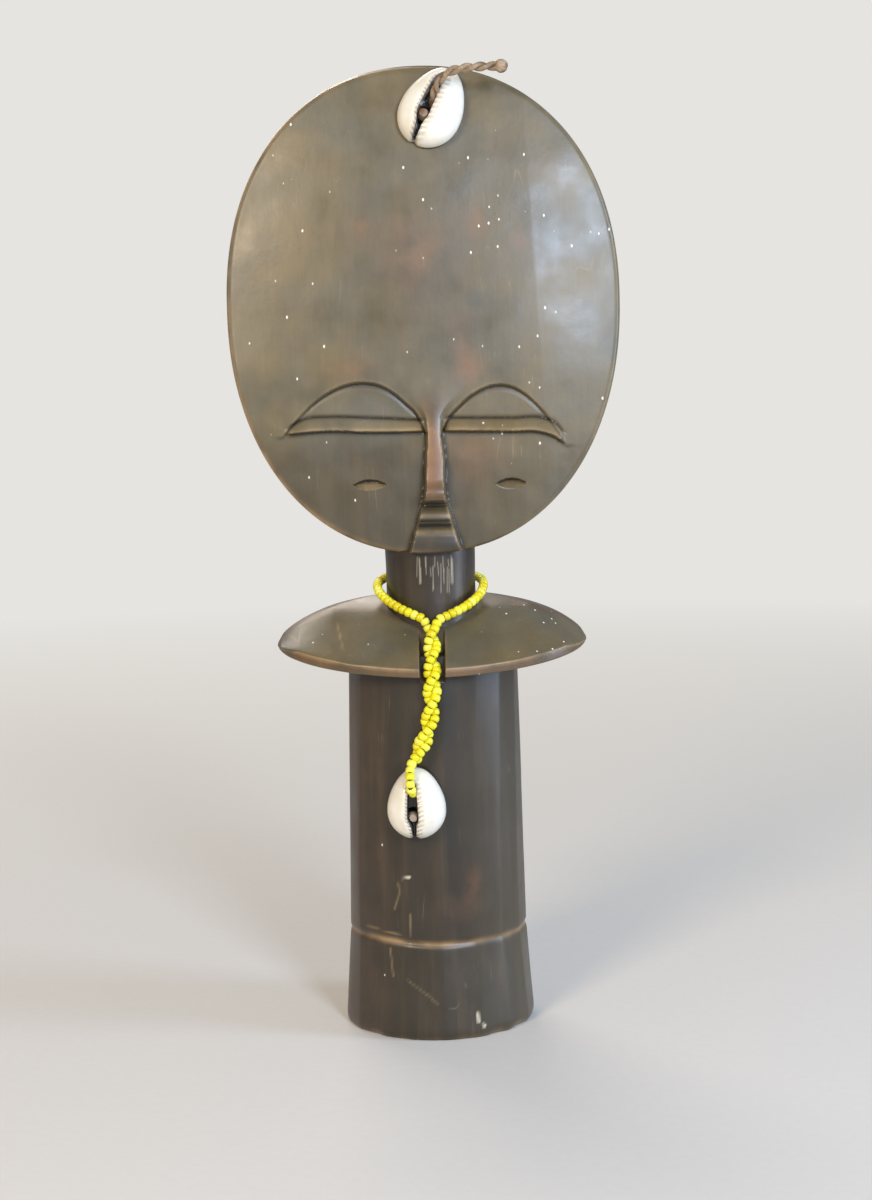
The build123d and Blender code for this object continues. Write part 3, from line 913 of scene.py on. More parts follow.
        # painted shade under the brow edges, in the grooves and cheek cuts, under the lids and nose, beside
        # the ridge and in the mouth
        painted_shade = np.clip(0.75 * brow_line + 0.85 * groove + 0.7 * lid_shadow + 0.5 * notch_side
                          + 0.9 * under_nose + 0.85 * mouth, 0, 0.92)
        nose_front = (1 - smooth(half * 0.6, half, across)) * smooth(16, 18, z) * smooth(54, 40, z)
        ridge_edge = np.exp(-(((across - half + 0.3) / 0.45) ** 2)) * beside_nose
        lips = (np.exp(-(((z - 12.3) / 0.8) ** 2)) + np.exp(-(((z - 6.9) / 0.7) ** 2))) * flank
        rubbed = 0.75 * nose_front + sum(share * spot(x, z, *place) for share, *place in self.rubbed_spots)
        # painted highlight along the right edge of the nose ridge, on top of wear on both edges
        right_edge_highlight = smooth(self.axis, self.axis + 0.8, x)
        worn_and_highlight = (0.5 * ridge_edge * right_edge_highlight + 0.16 * ridge_edge + 0.5 * lips + 0.4 * lid_edge_and_cut_light
                + 0.22 * lid_face_highlight + 0.16 * np.exp(-(((below + 0.5) / 0.6) ** 2)) * lateral)
        # grey layer with painted sheen: thin on the nose root, the middle of the forehead, the cheeks and the
        # chin, heavier on the lid facets and the upper right, where light catches
        haze_and_sheen = 0.86 - 0.4 * spot(x, z, 2.1, 46, 4.5, 6.0) - 0.26 * spot(x, z, -2, 93, 26, 26) + 0.2 * lid_face_highlight
        haze_and_sheen -= (0.42 - 0.20 * smooth(0, 40, x)) * smooth(43, 28, z)
        haze_and_sheen += 0.16 * smooth(32, 55, x) * smooth(40, 80, z) - 0.35 * flank * smooth(7.0, 3.0, z)
        paint = 0.12 + 0.13 * smooth(-10, 30, x) + 0.10 * spot(x, z, -38, 78, 12, 12)
        return y, {"painted_shade": painted_shade, "rubbed": rubbed, "worn_and_highlight": worn_and_highlight, "haze_and_sheen": haze_and_sheen, "paint": paint}

    def build(self) -> bpy.types.Object:
        """Front grid that is densest over the face, rounded rim, and rings that close the plain back.

        Returns:
            The closed head.
        """
        side_share, chin_share = 0.78, -0.26
        fine_x = np.concatenate((np.linspace(-1, -side_share, 22)[:-1],
                                 np.linspace(-side_share, side_share, 236),
                                 np.linspace(side_share, 1, 22)[1:]))
        fine_z = np.concatenate((np.linspace(-1, chin_share, 175)[:-1], np.linspace(chin_share, 1, 92)))
        u, v = np.meshgrid(fine_x, fine_z)
        x, z, radius = self.disc(u, v)
        y, wear_and_painted_light = self.front(x, z)
        rows, columns = u.shape

        inward = (1 - radius) * self.half_width
        y = y + self.edge_drop(inward, -2 * self.lens(x, z))
        rim = np.exp(-((inward / 0.9) ** 2))
        left_rim = smooth(10, -40, x)
        wear_and_painted_light["worn_and_highlight"] = wear_and_painted_light["worn_and_highlight"] + (0.18 + 0.42 * left_rim) * rim
        wear_and_painted_light["rubbed"] = wear_and_painted_light["rubbed"] + 0.3 * rim * left_rim
        front = np.stack((x, y, z), -1).reshape(-1, 3)

        edge = front[outline(rows, columns)]
        flat = np.array((self.centre_x, 0.0, self.centre_z))
        shares = np.concatenate(((1.0, 0.996, 0.988, 0.976), np.linspace(0.955, 0.05, 14)))
        rings = []
        for share in shares:
            ring = flat + (edge - flat) * share
            depth = -self.lens(ring[:, 0], ring[:, 2])
            uneven = 0.14 * ripple(ring[:, 0], ring[:, 2], 40.0, 21) * smooth(0.99, 0.9, share)
            ring[:, 1] = depth - self.edge_drop((1 - share) * self.half_width, 2 * depth) + uneven
            rings.append(ring)
        centre = np.array([[self.centre_x, self.thickness / 2, self.centre_z]])
        points = np.concatenate((front, *rings, centre))
        share = np.repeat(shares, len(edge))
        rear = {
            # behind: no painted shade, and a grey layer with painted sheen
            "painted_shade": 0 * share, "rubbed": 0.15 + 0 * share, "paint": 0.02 + 0 * share,
            "worn_and_highlight": 0.3 * np.exp(-(((1 - share) * 64 / 1.2) ** 2)), "haze_and_sheen": 0.35 + 0.15 * (1 - share),
        }
        values = {key: np.concatenate((wear_and_painted_light[key].ravel(), rear[key], rear[key][-1:])) for key in wear_and_painted_light}
        faces = backed_faces(rows, columns, len(shares))
        return make_mesh("carved_head", head_to_world(points), faces, values, 30.0)


@dataclass
class CarvedNeck:
    """Round neck between the plate and the head, sloped off behind the head."""

    centre_y: float = 1.5
    foot: float = 119.0
    radii: tuple = ((118, 138, 150, 168), (16.2, 15.2, 14.9, 15.2))
    under_chin: float = 161.4
    crown: float = 169.5

    def top(self, y: np.ndarray) -> np.ndarray:
        """Height of its top: level under the chin, else the slope 152 + 6/7 (20 - y) up to the crown."""
        slope = np.minimum(152 + (20 - y) * 18 / 21, self.crown)
        return np.where(y < -8.2, self.under_chin, slope)

    def build(self) -> bpy.types.Object:
        """Rings of radius R(z) up to the top, closed inwards over it.

        Returns:
            The closed neck.
        """
        angle = np.linspace(0, 2 * math.pi, 420, endpoint=False)
        share = np.linspace(0, 1, 70)[:, None]
        top = self.top(15.1 * np.sin(angle) + self.centre_y)
        z = self.foot + (top - self.foot)[None, :] * share
        radius = np.interp(z, *self.radii)
        radius = radius + 0.10 * ripple(angle[None] * 15 + 0 * z, z, 14.0, 3)
        x, y = radius * np.cos(angle), radius * np.sin(angle) + self.centre_y
        side = np.stack((x, y, z), -1)
        inward = np.linspace(0.96, 0.06, 8)[:, None]
        cx, cy = x[-1] * inward, self.centre_y + (y[-1] - self.centre_y) * inward
        grid = np.concatenate((side, np.stack((cx, cy, self.top(cy)), -1)))
        gx, gy, gz = grid[..., 0], grid[..., 1], grid[..., 2]
        scratch = np.zeros_like(gx)
        rng = np.random.default_rng(12)
        for _ in range(22):
            sx = rng.uniform(-4.5, 8.5)
            high = rng.uniform(155, 160)
            low_end = (sx + rng.uniform(-0.3, 0.3), high - rng.uniform(2, 10))
            scratch += stroke(gx, gz, (sx, high), low_end, 0.22)
        wear_and_painted_light = {
            # a little grey layer with painted sheen; painted shade at the top of the neck's front, under the
            # chin
            "chalk": np.clip(0.36 * scratch * (gy < -8), 0, 0.4), "haze_and_sheen": 0.03 + 0 * gx,
            "painted_shade": 0.3 * smooth(150, 160, gz) * (gy < 0), "paint": 0.01 + 0 * gx,
        }
        return closed_tube("carved_neck", grid, wear_and_painted_light, 50.0)


@dataclass
class ShoulderPlate:
    """Short flat arms in one plate, with the channel for the beads cut down its front."""

    half: float = 52.0
    tip_z: float = 131.0
    tip_y: float = 1.0
    front_reach: float = 31.0
    back_reach: float = 17.0
    rise: float = 14.6
    drop: float = 9.6
    ridge_top: float = 141.2
    channel_front: float = -25.2
    channel_half: float = 4.05

    def round_off(self, width: np.ndarray, power: float, root: float) -> np.ndarray:
        """Outline that falls from 1 in the middle to 0 at the tip: (1 - (w / half)^power)^root."""
        return np.maximum(0.0, 1 - (width / self.half) ** power) ** root

    def edges(self, width: np.ndarray) -> tuple:
        """Edges of the plate.

        Args:
            width: distance from the middle.
        Returns:
            Front and back edge in plan, and the top and under outline seen from in front.
        """
        plan = self.round_off(width, 2.2, 0.5)
        top = self.tip_z + self.rise * self.round_off(width, 2.6, 0.75)
        under = self.tip_z - self.drop * self.round_off(width, 1.5, 0.42)
        return self.tip_y - self.front_reach * plan, self.tip_y + self.back_reach * plan, top, under

    def top_height(self, x: np.ndarray, y: np.ndarray) -> np.ndarray:
        """Upper surface: a front facet up to a ridge line, then a nearly level rear band.

        Args:
            x, y: place in plan.
        Returns:
            Its height.
        """
        width = np.abs(x)
        front, _, outline_z, under = self.edges(width)
        low = under + np.interp(width, (0, 44, 52), (3.9, 4.4, 1.0))
        ridge_y = -6.0 + 8.0 * (width / self.half) ** 2
        ridge_z = np.minimum(self.ridge_top, outline_z - 0.9)
        facet = low + (ridge_z - low) * (y - front) / np.maximum(ridge_y - front, 1.0)
        rear = ridge_z + 0.25 * (y - ridge_y) - 1.6 * np.maximum(0, y - 14)
        return np.minimum(outline_z, np.minimum(facet, rear))

    def bottom_height(self, x: np.ndarray, y: np.ndarray) -> np.ndarray:
        """Under surface: the higher of the outline seen from in front and the sloped underside."""
        return np.maximum(self.edges(np.abs(x))[3], np.interp(y, (-34, -12, 18, 22), (118, 121, 133, 138)))

    def build(self) -> bpy.types.Object:
        """Closed sections across the plate, one at each x, each a rounded blade round its middle line.

        A section is y = middle + reach * sgn(c)|c|^p, z = between the under and upper surfaces by
        sgn(s)|s|^q, with c, s the cosine and sine of the parameter round it. Sections lie close
        together at the channel's walls.

        Returns:
            The closed plate.
        """
        spread = self.half * np.sin(np.linspace(-0.4985, 0.4985, 170) * math.pi)
        walls = self.channel_half + np.array((-0.75, -0.55, -0.4, -0.3, -0.2, -0.1, 0, 0.1, 0.25, 0.45, 0.75))
        apart = spread[np.abs(np.abs(spread) - self.channel_half) > 0.85]
        across = np.sort(np.concatenate((apart, walls, -walls)))
        angle = np.linspace(0, 2 * math.pi, 200, endpoint=False)
        x = np.repeat(across[:, None], len(angle), 1)
        width = np.abs(x)
        front, back, _, _ = self.edges(width)
        open_share = smooth(self.channel_half + 0.3, self.channel_half - 0.3, width)
        front = front + (np.maximum(front, self.channel_front) - front) * open_share
        c, s = np.cos(angle), np.sin(angle)
        middle, reach = (front + back) / 2, (back - front) / 2
        y = middle + reach * (np.sign(c) * np.abs(c) ** 0.55)
        top = self.top_height(x, y)
        floor = 137 + 1.473 * (y + 13.4)
        top = top + (np.minimum(top, floor) - top) * open_share
        bottom = np.minimum(self.bottom_height(x, y), top - 0.15)
        z = (top + bottom) / 2 + (top - bottom) / 2 * np.sign(s) * np.abs(s) ** 0.22
        z = z + 0.10 * ripple(x, y, 15.0, 5) * (s > 0)
        grid = np.stack((x, y, z), -1)
        near_front = np.exp(-(((c + 1) / 0.01) ** 2))
        edge_top = np.exp(-(((c + 0.993) / 0.010) ** 2)) * (s > 0)
        rear = smooth(-0.6, 0.6, y + 6.0 - 8.0 * (width / self.half) ** 2) * (s > 0)
        side_wall = np.exp(-(((width - 4.2) / 0.7) ** 2)) * (y < -14)
        cuts = (stroke(x, y, (-47.5, -3.5), (-44.8, -10.0), 0.5)
                + stroke(x, y, (-31.5, -8.0), (-29.0, -21.0), 0.5)) * (s > 0)
        wear_and_painted_light = {
            "worn_and_highlight": np.clip(0.55 * edge_top + 0.4 * cuts + 0.10 * side_wall, 0, 0.8),
            "rubbed": np.clip(0.34 * near_front + 0.24 * rear + 0.22 * side_wall, 0, 0.8),
            # grey layer with painted sheen, less on the front face, the rear band and in the channel
            "haze_and_sheen": 0.8 - 0.4 * near_front - 0.25 * rear - 0.25 * open_share,
            # painted shade in the bead channel
            "painted_shade": 0.08 * open_share * (y < -10),
            "paint": 0.12 + 0.55 * smooth(10, 24, x) * (s > 0),
        }
        return closed_tube("carved_shoulder_plate", grid, wear_and_painted_light, 40.0)


@dataclass
class Trunk:
    """Oval column with one incised ring above a flat foot."""

    ring_height: float = 32.4
    ring_half: float = 1.0
    ring_depth: float = 0.62
    levels: tuple = (0, 2.5, 32, 128)
    half_widths: tuple = (31.6, 32.0, 29.9, 28.4)
    half_depths: tuple = (28.0, 28.4, 25.0, 23.8)
    foot_chips: tuple = (-21.5, 19.0, 26.5)
    scratches: tuple = (
        ((-13.0, 52.5), (-12.6, 49.0)), ((-12.6, 49.0), (-14.4, 43.5)), ((-9.2, 42.0), (-9.2, 34.5)),
        ((-16.2, 30.0), (-15.4, 21.0)), ((-10.5, 20.0), (-4.2, 15.5)), ((-4.2, 15.5), (-0.9, 12.5)),
        ((-24.0, 36.2), (-12.5, 34.8)),
    )
    # splashes of chalky paint: start, end, half width
    chalk_marks: tuple = (((12.4, 8.3), (12.7, 5.6), 0.75), ((14.0, 4.5), (14.8, 3.9), 0.6),
                          ((-11.6, 54.1), (-9.0, 54.6), 0.5))

    def build(self) -> bpy.types.Object:
        """Stacked ovals x = a(z) cos t, y = b(z) sin t with shallow knife facets and a cut ring.

        Behind, the top rises and draws in to follow the underside of the plate.

        Returns:
            The closed trunk.
        """
        angle = np.linspace(0, 2 * math.pi, 300, endpoint=False)
        low = np.array((0.0, 0.25, 0.6, 1.1, 1.8, 2.8))
        heights = np.concatenate((low, np.linspace(4, 29.4, 34), np.linspace(29.7, 35.2, 26),
                                  np.linspace(36, 128, 110)))
        z = np.repeat(heights[:, None], len(angle), 1)
        turn = np.repeat(angle[None], len(heights), 0)
        z = z + smooth(100, 128, z) * np.maximum(0, 8.0 * np.sin(turn))
        a, b = np.interp(z, self.levels, self.half_widths), np.interp(z, self.levels, self.half_depths)
        b = b - np.maximum(0, np.sin(turn)) * 6.6 * smooth(108, 136, z)
        flats = np.abs(np.sin(turn * 8.5 + 0.5 * np.sin(z / 31.0)))
        shape = 1 + 0.009 * (0.6 - flats) + 0.004 * ripple(turn * 29, z * 0.35, 21.0, 8)
        edge = 1.1 * (1 - np.sqrt(1 - np.clip(1 - z / 1.1, 0, 1) ** 2))
        wave = 0.35 * np.sin(turn * 2 + 0.8) + 0.25 * np.sin(turn * 5)
        ring = np.exp(-(((z - self.ring_height - wave) / self.ring_half) ** 2))
        ring *= 0.75 + 0.25 * np.sin(turn * 3 + 1)
        x, y = a * shape * np.cos(turn), b * shape * np.sin(turn)
        chips = sum(
            np.exp(-(((x - cx) / 2.2) ** 2) - (z / 1.8) ** 2) * (y < 0) for cx in self.foot_chips
        )
        inward = (edge + self.ring_depth * ring + 0.75 * chips)[..., None]
        outward = np.stack((np.cos(turn), np.sin(turn), 0 * turn), -1)
        grid = np.stack((x, y, z), -1) - outward * inward
        inner = grid[0][None] * np.array((1, 1, 0)) * np.linspace(0.08, 0.97, 7)[:, None, None]
        grid = np.concatenate((inner, grid))
        gx, gy, gz = grid[..., 0], grid[..., 1], grid[..., 2]
        pad = np.zeros((7, len(angle)))
        ring, chips, front = np.concatenate((pad, ring)), np.concatenate((pad, chips)), gy < 0
        lines = sum(stroke(gx, gz, start, end, 0.5) for start, end in self.scratches) * front
        chalk = sum(stroke(gx, gz, start, end, half) for start, end, half in self.chalk_marks) * front
        foot_edge = np.exp(-((gz / 1.0) ** 2)) * (gz > 0.02)
        wear_and_painted_light = {
            "worn_and_highlight": np.clip(0.6 * ring + 0.35 * lines + 0.35 * chips + 0.22 * foot_edge, 0, 0.75),
            "rubbed": np.clip(0.38 * spot(gx, gz, 12.0, 52, 2.2, 5.0) * front
                              + 0.12 * spot(gx, gz, 8.0, 46, 7, 9) * front
                              + 0.12 * smooth(-12, -27, gx) * front + 0.3 * ring, 0, 0.8),
            # grey layer with painted sheen: lighter on the right of the front, where the right lamps reflect,
            # and towards the foot
            "haze_and_sheen": 0.05 + 0.14 * smooth(4, 20, gx) * front + 0.06 * smooth(60, 20, gz),
            # painted shade at the top, under the plate
            "painted_shade": 0.35 * smooth(108, 122, gz), "paint": 0.05 + 0 * gx,
            "chalk": np.clip(chalk, 0, 0.9),
        }
        return closed_tube("carved_trunk", grid, wear_and_painted_light, 45.0)


# ------------------------------------------------------------------ shells
@dataclass
class Cowrie:
    """Cowrie with its back ground off, seen from its toothed side, narrow end up."""

    name: str
    length: float
    width: float
    depth: float
    slit_half: tuple = ((-1.0, 0.35), (-0.75, 0.5), (-0.45, 0.75), (-0.2, 1.5), (0.1, 1.55), (0.45, 1.25),
                        (0.68, 1.0), (0.8, 0.25))
    # rings behind: share of the outline, depth behind it
    back_rings: tuple = ((0.985, 0.05), (0.93, 0.05), (0.88, 0.5), (0.6, 1.2), (0.25, 1.3))

    def build(self, place: np.ndarray) -> bpy.types.Object:
        """Domed egg D = depth (1 - r^2)^0.46, less the slit, plus lips, teeth and a round core.

        Args:
            place: 4 x 4 matrix in millimetres from the shell's frame to the model's.
        Returns:
            The closed shell.
        """
        side = np.concatenate((np.linspace(-1, -0.55, 26)[:-1], np.linspace(-0.55, 0.4, 150)[:-1],
                               np.linspace(0.4, 1, 32)))
        up = np.linspace(-1, 1, 190)
        u, v = np.meshgrid(side, up)
        a, b = u * np.sqrt(1 - v**2 / 2), v * np.sqrt(1 - u**2 / 2)
        radius = np.clip(np.hypot(a, b), 0, 1)
        wide, half = -0.10 * self.length, self.length / 2
        z = wide + np.where(b > 0, b * (half - wide), b * (half + wide))
        pinch = 1 - 0.10 * smooth(0.1, 1.0, b)
        x = a * self.width / 2 * pinch
        notch = np.exp(-(((x + 0.6) / 1.0) ** 2)) * smooth(-0.80, -1.0, b)
        dome = self.depth * (1 - radius**2 * 0.998) ** 0.46
        scale = self.length / 23.7

        core = -1.35 * scale + 0.5 * scale * smooth(0.2, -0.9, b)
        gap = scale * through(self.slit_half, b)
        ends = smooth(0.80, 0.70, b) * smooth(-1.02, -0.93, b)
        away = np.abs(x - core)
        slit = (1 - smooth(gap - 0.25, gap + 0.35, away)) * ends
        left = x < core
        reach = np.where(left, 1.5, 2.7) * scale
        band = smooth(gap - 0.1, gap + 0.35, away) * (1 - smooth(gap + 0.5 * reach, gap + reach, away))
        band *= smooth(0.82, 0.66, b) * smooth(-0.97, -0.85, b)
        pitch = np.where(left, 1.25, 1.55) * scale
        tooth = 0.5 + 0.5 * np.cos(2 * math.pi * (z + 0.35 * np.where(left, 1, -1) * (x - core)) / pitch)
        lips = np.exp(-(((away - gap - 1.7 * scale) / (1.5 * scale)) ** 2)) * smooth(0.95, 0.6, np.abs(b))
        bulge = spot(x, z, 5.2 * scale, -1.0 * scale, 3.4 * scale, 6.5 * scale)
        rise = dome + 0.35 * lips + 0.55 * bulge - 0.30 * band * (1 - tooth) - 0.7 * notch
        hollow = np.minimum(rise, 1.6)
        height = rise + (hollow - rise) * slit
        ball = spot(x, z, core + 0.15, -3.7 * scale, 2.1 * scale, 2.0 * scale)
        height = np.maximum(height, (self.depth - 1.7) * np.minimum(1, ball * 1.35) * slit)
        height = np.minimum(height, self.depth + 0.6)
        z = z + 0.9 * notch
        front = np.stack((x, -height, z), -1).reshape(-1, 3)
        rows, columns = u.shape
        edge = front[outline(rows, columns)]
        rings = [np.stack((edge[:, 0] * share, np.full(len(edge), -behind), edge[:, 2] * share), -1)
                 for share, behind in self.back_rings]
        points = np.concatenate((front, *rings, [[0.0, -1.3, 0.0]]))
        faces = backed_faces(rows, columns, len(rings))
        ball_top = smooth(0.40, 0.62, ball) * slit
        # painted shade in the slit and between the teeth, kept off the top of the knot ball
        inside = np.clip(slit * (1 - 0.9 * ball_top) + 0.30 * band * (1 - tooth) * (away < gap + 0.9), 0, 1)
        stain = np.clip(0.32 * band * (0.35 + 0.65 * (1 - tooth)) + 1.2 * ball_top
                        + 0.25 * np.exp(-(((away - gap) / 0.8) ** 2)) * ends + 0.5 * notch, 0, 1)
        tail = np.zeros(len(points) - len(front))
        values = {"inside": np.concatenate((inside.ravel(), tail)),
                  "stain": np.concatenate((stain.ravel(), tail + 0.15))}
        placed = points @ place[:3, :3].T + place[:3, 3]
        return make_mesh(self.name, placed, faces, values, 60.0)


def shell_frame() -> np.ndarray:
    """Frame of the head shell: on the front of the head, tipped to its slope.

    Returns:
        4 x 4 matrix in millimetres.
    """
    tilt = math.radians(-10.378)
    c, s = math.cos(tilt), math.sin(tilt)
    frame = np.eye(4)
    frame[:3, :3] = np.array(((1, 0, 0), (0, c, -s), (0, s, c)))
    frame[:3, 3] = (4.3, -0.78, 305.34)
    return frame


def lean_right(degrees: float) -> np.ndarray:
    """Turn about the front-to-back direction that leans the top of a shell to the right.

    Args:
        degrees: how far it leans.
    Returns:
        4 x 4 matrix.
    """
    t = math.radians(degrees)
    turn = np.eye(4)
    turn[:3, :3] = np.array(((math.cos(t), 0, math.sin(t)), (0, 1, 0), (-math.sin(t), 0, math.cos(t))))
    return turn


# ------------------------------------------------------------------ beads, threads and thong
@dataclass
class SeedBeads:
    """Seed beads threaded on a line: each a short rounded ring."""

    diameter: float = 3.2
    long: float = 2.3
    hole: float = 1.0
    around: int = 14

    def profile(self) -> np.ndarray:
        """Half section round the ring, full and rounded.

        Returns:
            Radius and height at eight points.
        """
        outer, inner, half = self.diameter / 2, self.hole / 2, self.long / 2
        upper = np.array(((outer - 0.03, half * 0.42), (outer - 0.34, half * 0.9), (inner + 0.28, half),
                          (inner, half * 0.62)))
        return np.concatenate((upper[::-1] * (1, -1), upper))

    def build(self, name: str, line: Line, places: np.ndarray, seed: int) -> bpy.types.Object:
        """Place a bead at each distance along the line, each a little different in size and tone.

        Args:
            name: object name.
            line: the thread's line.
            places: distances along it.
            seed: seed of the differences.
        Returns:
            All the beads as one object.
        """
        rng = np.random.default_rng(seed)
        centre, direction, side, up = line.frames(places)
        direction = direction + rng.normal(0, 0.05, direction.shape)
        direction /= np.linalg.norm(direction, axis=-1, keepdims=True)
        size = rng.uniform(0.95, 1.03, (len(places), 1, 1, 1))
        section = self.profile()
        angle = np.linspace(0, 2 * math.pi, self.around, endpoint=False)
        ring = (side[:, None] * np.cos(angle)[None, :, None] + up[:, None] * np.sin(angle)[None, :, None])
        outward, ahead = section[None, :, None, :1], section[None, :, None, 1:]
        points = centre[:, None, None] + size * (ring[:, None] * outward + direction[:, None, None] * ahead)
        each = len(section) * self.around
        k = np.arange(len(section))[:, None]
        j = np.arange(self.around)[None]
        k2, j2 = (k + 1) % len(section), (j + 1) % self.around
        block = np.stack(np.broadcast_arrays(
            k * self.around + j, k * self.around + j2, k2 * self.around + j2, k2 * self.around + j), -1)
        faces = (block.reshape(1, -1, 4) + (np.arange(len(places)) * each)[:, None, None]).reshape(-1, 4)
        tone = np.repeat(rng.uniform(0, 1, len(places)), each)
        # marks the hole walls of each bead for painted shade
        dark = np.tile(np.repeat([1.0, 0, 0, 0, 0, 0, 0, 1.0], self.around), len(places))
        return make_mesh(name, points.reshape(-1, 3), [faces], {"bead_tone": tone, "hole": dark}, 70.0)


@dataclass
class Necklace:
    """One thread of seed beads round the neck, its ends twisted together down the chest."""

    thread: float = 0.6
    bead_pitch: float = 2.34
    upper_offset: float = 1.56
    lower_offset: float = 1.68
    pitch: float = 17.0
    hinge: tuple = (-0.1, -27.9, 121.6)

    def loop_route(self) -> list:
        """Control points of the thread round the neck."""
        return [
            (-2.6, -17.0, 139.6), (-9.0, -14.8, 142.1), (-14.6, -9.8, 145.0), (-17.7, -3.0, 147.6),
            (-18.1, 4.6, 149.4), (-15.4, 12.0, 150.4), (-9.6, 17.6, 150.9), (-1.8, 19.9, 150.7),
            (6.2, 19.3, 150.8), (13.0, 15.0, 150.5), (17.2, 8.2, 149.9), (18.0, 0.4, 148.4),
            (16.2, -7.2, 145.8), (11.4, -13.4, 142.8), (5.0, -17.2, 140.4), (2.0, -18.3, 139.3),
        ]

    def upper_axis(self) -> list:
        """Middle line of the twist in the channel."""
        return [(0.2, -17.8, 137.3), (-0.1, -27.7, 122.1)]

    def lower_axis(self) -> list:
        """Middle line of the twist below the channel."""
        return [(-0.1, -27.8, 121.0), (-0.4, -28.5, 114.5), (-0.9, -28.6, 109.5), (-2.0, -28.7, 104.6),
                (-3.9, -28.8, 99.8), (-5.9, -28.9, 96.0)]

    def strand(self, axis_points: list, side: int, phase: float, offset: float) -> list:
        """Control points of one strand of the twist, eight to a turn.

        Args:
            axis_points: middle line of the twist.
            side: -1 or 1, which side of the middle line.
            phase: angle in degrees at which it starts.
            offset: radius of the twist.
        Returns:
            The points.
        """
        axis = np.array(axis_points, float)
        run = np.concatenate(([0.0], np.cumsum(np.linalg.norm(np.diff(axis, axis=0), axis=1))))
        count = max(3, round(run[-1] / self.pitch * 8))
        route = []
        for step in range(count + 1):
            along = run[-1] * step / count
            i = min(int(np.searchsorted(run, along - 1e-9, side="left")) - 1, len(axis) - 2)
            i = max(i, 0)
            direction = (axis[i + 1] - axis[i]) / (run[i + 1] - run[i])
            centre = axis[i] + direction * (along - run[i])
            outward = np.cross(direction, (1.0, 0.0, 0.0))
            outward /= np.linalg.norm(outward)
            angle = math.radians(phase) + 2 * math.pi * along / self.pitch
            reach = side * offset
            route.append(tuple(centre + reach * (
                np.array((1.0, 0.0, 0.0)) * math.cos(angle) + outward * math.sin(angle))))
        return route

    def build(self, thread: bpy.types.Material, glass: bpy.types.Material) -> None:
        """Loop, two strands, their beads and the knot, each on its body, and the three cords.

        Args:
            thread: finish of the thread.
            glass: finish of the beads.
        """
        loop, loop_line = nurbs("neck_cord", self.loop_route(), self.thread)
        dress(loop, thread, Slot.THREAD, "necklace", "neck_thread")
        count = 50
        places = (np.arange(count) + 0.5) * loop_line.length / count
        beads = SeedBeads().build("neck_seed_beads", loop_line, places, 5)
        dress(beads, glass, Slot.BEAD, "necklace", *[f"neck_beads_{i + 1:02d}" for i in range(25)])

        tails = {
            -1: [(-7.9, -31.2, 93.3), (-8.0, -33.6, 90.9), (-8.0, -34.6, 87.8), (-7.6, -33.2, 85.4),
                 (-6.8, -30.4, 84.2)],
            1: [(-6.3, -25.0, 92.6), (-6.6, -24.8, 89.6), (-6.9, -26.6, 86.8), (-7.3, -29.2, 84.4)],
        }
        knot = knotted_ball("strand_end_knot", (-7.05, -29.8, 84.3), 0.95, 0.0)
        dress(knot, thread, Slot.THREAD, "pendant_lower", "end_knot")
        for side, word, length in ((-1, "left", 0.0658), (1, "right", 0.0636)):
            route = [self.loop_route()[0 if side < 0 else -1]]
            route += self.strand(self.upper_axis(), side, 20.0, self.upper_offset)
            route += self.strand(self.lower_axis(), side, 100.0, self.lower_offset) + tails[side]
            guide, line = nurbs(f"{word}_guide", route, self.thread)
            bpy.data.objects.remove(guide)
            cord = several_tubes(f"{word}_strand_cord", [sweep(line, self.thread / 2, around=8, step=0.8)])
            replaced = [f"{word}_thread"] + (["throat_threads"] if side < 0 else [])
            dress(cord, thread, Slot.THREAD, "", *replaced)
            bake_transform(cord)
            bare_end = 1.0 if side < 0 else 12.5  # the right strand is bare behind the shell
            places = np.arange(1.1, line.length - bare_end, self.bead_pitch)
            height = line.at(places)[:, 2]
            split = height > self.hinge[2]
            upper = SeedBeads().build(f"{word}_throat_seed_beads", line, places[split], 11 + side)
            lower = SeedBeads().build(f"{word}_pendant_seed_beads", line, places[~split], 21 + side)
            # each CAD row holds a bead of both strands, so the left strand's beads stand for them all
            throat = [f"throat_row_{i + 1:02d}" for i in range(8)]
            pendant = [f"pendant_row_{i + 1:02d}" for i in range(12)]
            pendant += [f"tail_bead_{i + 1}" for i in range(4)]
            dress(upper, glass, Slot.BEAD, "pendant_upper", *(throat if side < 0 else ()))
            dress(lower, glass, Slot.BEAD, "pendant_lower", *(pendant if side < 0 else ()))
            log.info("%s strand %.1f mm, %d beads", word, line.length, len(places))


def knotted_ball(name: str, centre: tuple, radius: float, depth: float = 0.12) -> bpy.types.Object:
    """Tight overhand knot: a ball whose radius swells along a strand that wraps it at a slant.

    Args:
        name: object name.
        centre: its middle in millimetres.
        radius: its radius.
        depth: depth of the furrows between the wraps, as a share of the radius.
    Returns:
        The knot.
    """
    turn = np.linspace(0, 2 * math.pi, 56, endpoint=False)[None]
    lift = np.linspace(0.06, math.pi - 0.06, 34)[:, None]
    wraps = np.abs(np.sin(1.5 * turn + 2.2 * np.cos(lift) + 0.6))
    grain = np.sin(18 * turn + 9 * np.cos(lift)) * 0.012
    size = radius * (1 - depth + depth * wraps**0.6 + grain * (depth > 0))
    grid = np.stack((np.sin(lift) * np.cos(turn) * size, np.sin(lift) * np.sin(turn) * size * 0.92,
                     np.cos(lift) * size * 0.95 + 0 * turn), -1) + np.array(centre)
    return closed_tube(name, grid, {}, 60.0)


